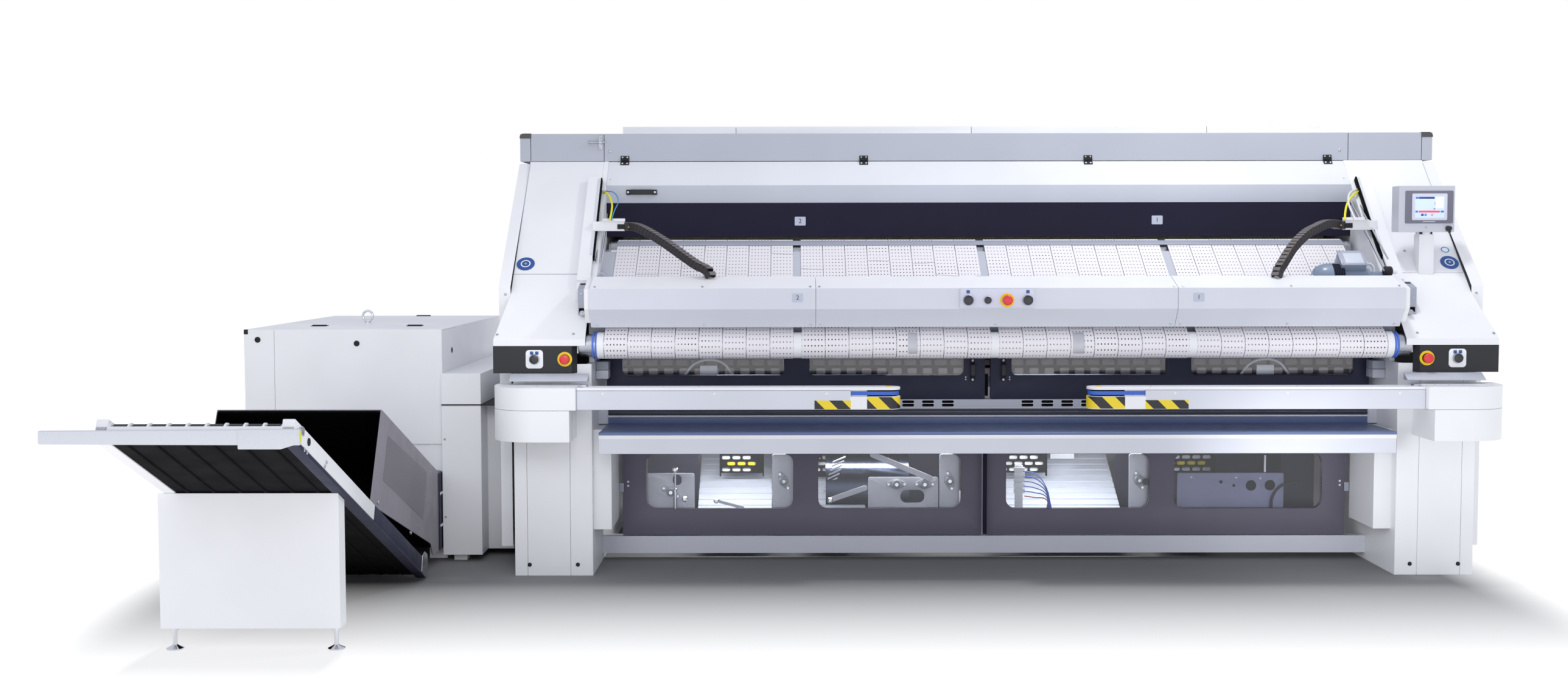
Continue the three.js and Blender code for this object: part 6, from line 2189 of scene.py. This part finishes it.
# %% Motor
MOTOR_AT = (-556, 1258)
CAP_END, BELL_END = 1390, 1397
BELL = [(0, 0), (0, 26), (5, 38), (15, 50), (35, 60), (55, 64), (77, 65), (77, 0)]
bell = stud("x", BELL_END, 1, BELL, MOTOR_AT, 40)
gear_case = merged(
    rod("x", 44, (1520, 1640), MOTOR_AT, 36, 3.0), rod("x", 30, (1636, 1705), MOTOR_AT, 32), bell,
)
piece("motor_body", gear_case, MOTOR_GREY)
fins = [rod("x", 64, (x, x + 3), MOTOR_AT, 36) for x in range(1477, 1520, 7)]
piece("motor_fins", merged(*fins, rod("x", 54, (1474, 1522), MOTOR_AT, 32)), CHARCOAL)
cap = turned("x", [(CAP_END, 0), (CAP_END, 17), (BELL_END, 19), (BELL_END, 0)], MOTOR_AT, 24)
piece("motor_shaft_cap", cap, CAST)
lean = Matrix.Translation((1563, -560, 1330)) @ Matrix.Rotation(math.radians(38), 4, "X")
piece("terminal_box", moved(block((-54, 54), (-46, 46), (-52, 16), 5.0), lean), MOTOR_GREY)
piece("terminal_lid", moved(block((-57, 57), (-49, 49), (17, 24), 3.0), lean), MID_GREY)
piece("terminal_label", moved(block((-36, 42), (-38, 30), (24, 24.8), 0.3), lean), TERMINAL_FACE)
lid_screws = [(*(lean @ Vector((x, y, 24))), "slope") for x in (-49, 49) for y in (-41, 41)]
screws("terminal_lid_screws", lid_screws, ZINC, radius=4)
gland = turned("x", [(54, 0), (54, 13), (66, 13), (70, 9), (74, 9), (74, 0)], (6, -14), 20)
piece("terminal_gland", moved(gland, lean), WHITE_ABS)
hose = [
    (1632, -552, 1322), (1652, -552, 1318), (1664, -556, 1298), (1660, -560, 1276),
    (1640, -562, 1262),
]
cable("motor_hose", hose, 5.5, GREY_CABLE)
print("motor from X", CAP_END)

# %% [markdown]
# ## Cable chains
#
# Each chain is a row of nylon links: two side plates, joined by a bar on top and one below. The
# links follow the middle line of the construction's own chain, which is read back from its rings.

# %% Chain links
LINK_PITCH = 23.0
CHAIN_HALF, LINK_WALL = 18, 3


def middle_line(node, sign):
    """The centres of the rings of corners along a chain, from its bracket on."""
    shape = bmesh.new()
    shape.from_mesh(frame["nodes"][node].data)
    moved(shape, TO_FRAME.inverted())
    bmesh.ops.remove_doubles(shape, verts=shape.verts, dist=0.05)
    ring = sorted(shape.verts, key=lambda v: -sign * v.co.x)[:4]
    known, centres = set(ring), []
    while ring:
        centres.append(sum((v.co for v in ring), Vector()) / len(ring))
        ring = [v for v in {e.other_vert(u) for u in ring for e in u.link_edges} if v not in known]
        known.update(ring)
    shape.free()
    return centres


def along_line(centres, pitch):
    """Places at an even pitch on a line: a point and the direction there."""
    places, left_over = [], pitch / 2
    for a, b in zip(centres, centres[1:]):
        length = (b - a).length
        while left_over < length:
            places.append((a.lerp(b, left_over / length), (b - a).normalized()))
            left_over += pitch
        left_over -= length
    return places


for side, sign in SIDES:
    line = middle_line(f"energy_chain_{side}", sign)
    sides, bars = [], []
    for place, way in along_line(line, LINK_PITCH):
        across_link = way.cross(Vector((0, 0, 1))).normalized()
        under_link = way.cross(across_link).normalized() * -1
        turn = Matrix((way, across_link, under_link)).transposed().to_4x4()
        if turn.determinant() < 0:
            turn = turn @ Matrix.Scale(-1, 4, AXES["y"])
        lie = Matrix.Translation(place) @ turn
        for y in (-CHAIN_HALF, CHAIN_HALF - LINK_WALL):
            plates = block((-11.8, 6), (y, y + LINK_WALL), (-CHAIN_HALF + 1, CHAIN_HALF - 2))
            sides.append(moved(plates, lie))
            sides.append(
                moved(block((5, 11.8), (y + 0.6, y + 2.4), (-CHAIN_HALF + 7, CHAIN_HALF - 6)), lie)
            )
        for z in (-CHAIN_HALF, CHAIN_HALF - LINK_WALL):
            bar = block((-8, 8), (-CHAIN_HALF + 1, CHAIN_HALF - 1), (z, z + LINK_WALL))
            bars.append(moved(bar, lie))
    piece(f"chain_links_{side}", merged(*sides), CHAIN_BROWN, "root", [f"energy_chain_{side}"])
    piece(f"chain_bars_{side}", merged(*bars), CHAIN_GREY, "root", [f"energy_chain_{side}"])
    for number, (shift, wire) in enumerate(((-8, YELLOW_CABLE), (1, SOFT_BLACK), (9, RED_CABLE))):
        inner = [point + Vector((0, shift, -3)) for point in line[:-2:2]]
        cable(f"chain_wire_{side}_{number}", inner, 4.0, wire)
    connector = block(on_side(sign, 1598, 1630), (-374, -369), (1478, 1500), 1.5)
    piece(f"chain_connector_{side}", connector, SOFT_BLACK)
    flange_x = on_side(sign, 1600, 1700)
    flange = merged(
        block(flange_x, (-384, -326), (1512, 1515), 1.0),
        block(flange_x, (-326, -323), (1500, 1526), 1.0),
    )
    piece(f"chain_bracket_flange_{side}", flange, WHITE)
print("chain links:", len(along_line(line, LINK_PITCH)), "on each side")

# %% [markdown]
# Wires come out of the hood's end beside each rail and go down to the chain's bracket. They hang
# freely, and a small clip holds them at the top.

# %% Wires at the hood's ends
HANGING = {
    # radius, sheath, points from the hood's end down to the bracket
    "yellow_wire_left": (4.5, YELLOW_CABLE, (
        (-1716, -150, 1650), (-1700, -168, 1645), (-1670, -230, 1602), (-1663, -300, 1558),
        (-1668, -345, 1512),
    )),
    "air_hose_left": (2.5, BLUE_CABLE, (
        (-1706, -140, 1654), (-1668, -170, 1648), (-1640, -230, 1608), (-1652, -300, 1556),
        (-1660, -345, 1512),
    )),
    "yellow_wire_right": (5.0, YELLOW_CABLE, (
        (1738, -150, 1652), (1700, -190, 1636), (1648, -250, 1596), (1616, -310, 1540),
        (1606, -340, 1512),
    )),
    "grey_hose_right": (5.0, GREY_CABLE, (
        (1722, -150, 1655), (1678, -190, 1640), (1650, -250, 1596), (1648, -310, 1545),
        (1652, -345, 1512),
    )),
}
for name, (radius, sheath, points) in HANGING.items():
    cable(name, points, radius, sheath)
clips = [
    moved(block((-16, 16), (-9, 9), (0, 5), 1.5), slope_matrix(x, -148)) for x in (-1722, 1738)
]
piece("wire_clips", merged(*clips), ZINC)

# %% [markdown]
# ## Roll, chest and small covers
#
# The ironing roll is padded with needle felt and turns in a polished trough of cast iron. Both hide
# inside the machine. Two small boxes cover the drive beside the feed roller.

# %% Roll, chest and covers
dress("ironing_roll", FELT, 3.0)
dress("heated_chest", BRUSHED_STEEL, 1.5)
for side, sign in SIDES:
    cover_x = on_side(sign, 1650, 1703)
    piece(f"drive_cover_upper_{side}", block(cover_x, (-600, -520), (868, 904), 2.0), MID_GREY)
    piece(f"drive_cover_lower_{side}", block(cover_x, (-606, -520), (830, 867), 2.0), PALE_GREY)
    profile = [(-846, 838), (-846, 842), (-800, 868), (-800, 838)]
    ledge = prism("x", profile, on_side(sign, 1712, 2040), 1.0)
    piece(f"switch_box_ledge_{side}", ledge, PALE_GREY)
print("inner parts dressed")

# %% [markdown]
# ## Operator panel
#
# The panel is a pale folded housing with a dark front plate, a raised frame and a touch screen. The
# screen shows only plain blocks. A black key switch stands at its lower corner, and a square post
# carries it over the console.

# %% Housing and screen
panel_foot, panel_head = reach("operator_panel")
FACE = panel_foot.y


def on_panel(x0, x1, z0, z1):
    """The (X, Z) corners of a rectangle, from the panel's lower left corner."""
    return (panel_foot.x + x0, panel_foot.x + x1), (panel_foot.z + z0, panel_foot.z + z1)


def panel_plate(name, corners, rise, thickness, material, radius=3.0):
    """A flat plate on the panel's face."""
    outline = rounded_rectangle(*on_panel(*corners), radius, 3)
    shape = prism("y", outline, (FACE - rise - thickness, FACE - rise), min(0.4, thickness / 3))
    return piece(name, shape, material, "operator_panel")


def screen_glass(name, colour, glow):
    """A lit display under glossy glass."""
    material, output = blank(name, "black_plastic")
    light = linear(colour)
    shader = principled(
        material, base_color=light, roughness=0.12, emission_color=light, emission_strength=glow
    )
    return surface(material, output, shader)


HOUSING_GREY = powder_coat("light_grey_housing_coat", "grey_paint", "#C3C5D0", 0.35, 3.0)
BEZEL_GREY = powder_coat("slate_bezel_coat", "grey_paint", "#6F7080", 0.34, 3.0)
dress("operator_panel", HOUSING_GREY, 4.0)
dress("key_switch", BLACK_ABS, 1.0)
panel_plate("panel_bezel", (27, 235, 37, 178), 0, 2.0, BEZEL_GREY, 5)
panel_plate("panel_frame", (56, 208, 51, 166), 2.0, 3.5, LILAC_PLATE, 5)
panel_plate("panel_foot_bar", (104, 158, 43, 47), 2.0, 1.2, PALE_GREY, 1.5)
LIT_WHITE = screen_glass("lit_white_display", "#B7C8E4", 0.5)
panel_plate("panel_screen", (68, 195, 61, 154), 5.5, 0.4, LIT_WHITE, 1)
BLOCKS = {
    # corners on the panel, colour
    "display_bar": ((84, 152, 143, 152), "#2F3A78"),
    "display_bar_end": ((70, 83, 143, 152), "#4E6FB5"),
    "display_side": ((158, 190, 104, 150), "#EEF3FA"),
    "display_red_bar": ((84, 176, 84, 92), "#E0455C"),
    "display_arrows_left": ((70, 81, 84, 92), "#3C63B8"),
    "display_arrows_right": ((179, 193, 84, 92), "#3C63B8"),
    "display_block_one": ((94, 106, 69, 79), "#3A4A96"),
    "display_block_two": ((109, 119, 69, 79), "#3E8BD0"),
    "display_block_three": ((137, 147, 69, 79), "#D98B98"),
    "display_mark": ((150, 156, 118, 128), "#9FB2CC"),
    "display_mark_low": ((148, 155, 97, 102), "#55658F"),
}
for name, (corners, colour) in BLOCKS.items():
    panel_plate(name, corners, 5.9, 0.3, screen_glass(name, colour, 0.35), 0.8)
screws(
    "panel_screw", [(panel_foot.x + 119, FACE, panel_foot.z + 20, "front")], ZINC, "operator_panel",
    4,
)
KEY_AT = (panel_head.x - 27, panel_foot.z + 15.5)
steps = [(0, 7), (0, 14), (1.8, 13.4), (1.8, 7), (0, 7)]
piece("key_collar", stud("y", FACE - 0.2, -1, steps, KEY_AT, 28), ZINC, "operator_panel")
tag = merged(
    rod("y", 9.5, (FACE - 23, FACE - 8.5), KEY_AT, 24, 1.5),
    block(
        (panel_head.x - 32, panel_head.x - 22), (FACE - 22, FACE - 12),
        (panel_foot.z - 4, panel_foot.z + 8), 2.0,
    ),
)
piece("key_head", tag, BLACK_ABS, "key_switch")
print("screen blocks:", len(BLOCKS))

# %% [markdown]
# The post is square tube with a flange welded round its foot, and a dark turning joint under the
# housing.

# %% Post
POST_X, POST_Y, _ = pivot_of("operator_panel")
POST_HALF = 33
front, rear = POST_Y - POST_HALF, POST_Y + POST_HALF
tube = prism(
    "x",
    [
        (front, SLOPE_TOP + front), (front, panel_foot.z - 9), (rear, panel_foot.z - 9),
        (rear, SLOPE_TOP + rear),
    ],
    (POST_X - POST_HALF, POST_X + POST_HALF), 4.0,
)
piece("panel_post", tube, WHITE)
joint = block(
    (POST_X - 27, POST_X + 27), (POST_Y - 27, POST_Y + 27),
    (panel_foot.z - 9.2, panel_foot.z - 0.4), 1.5,
)
piece("panel_joint", joint, SOFT_BLACK)
foot_spots = [(*on_slope(POST_X + x, y), "slope") for x, y in ((-58, -420), (30, -420), (20, -475))]
screws("post_screws", foot_spots, ZINC, radius=6)
print("post at X", round(POST_X))
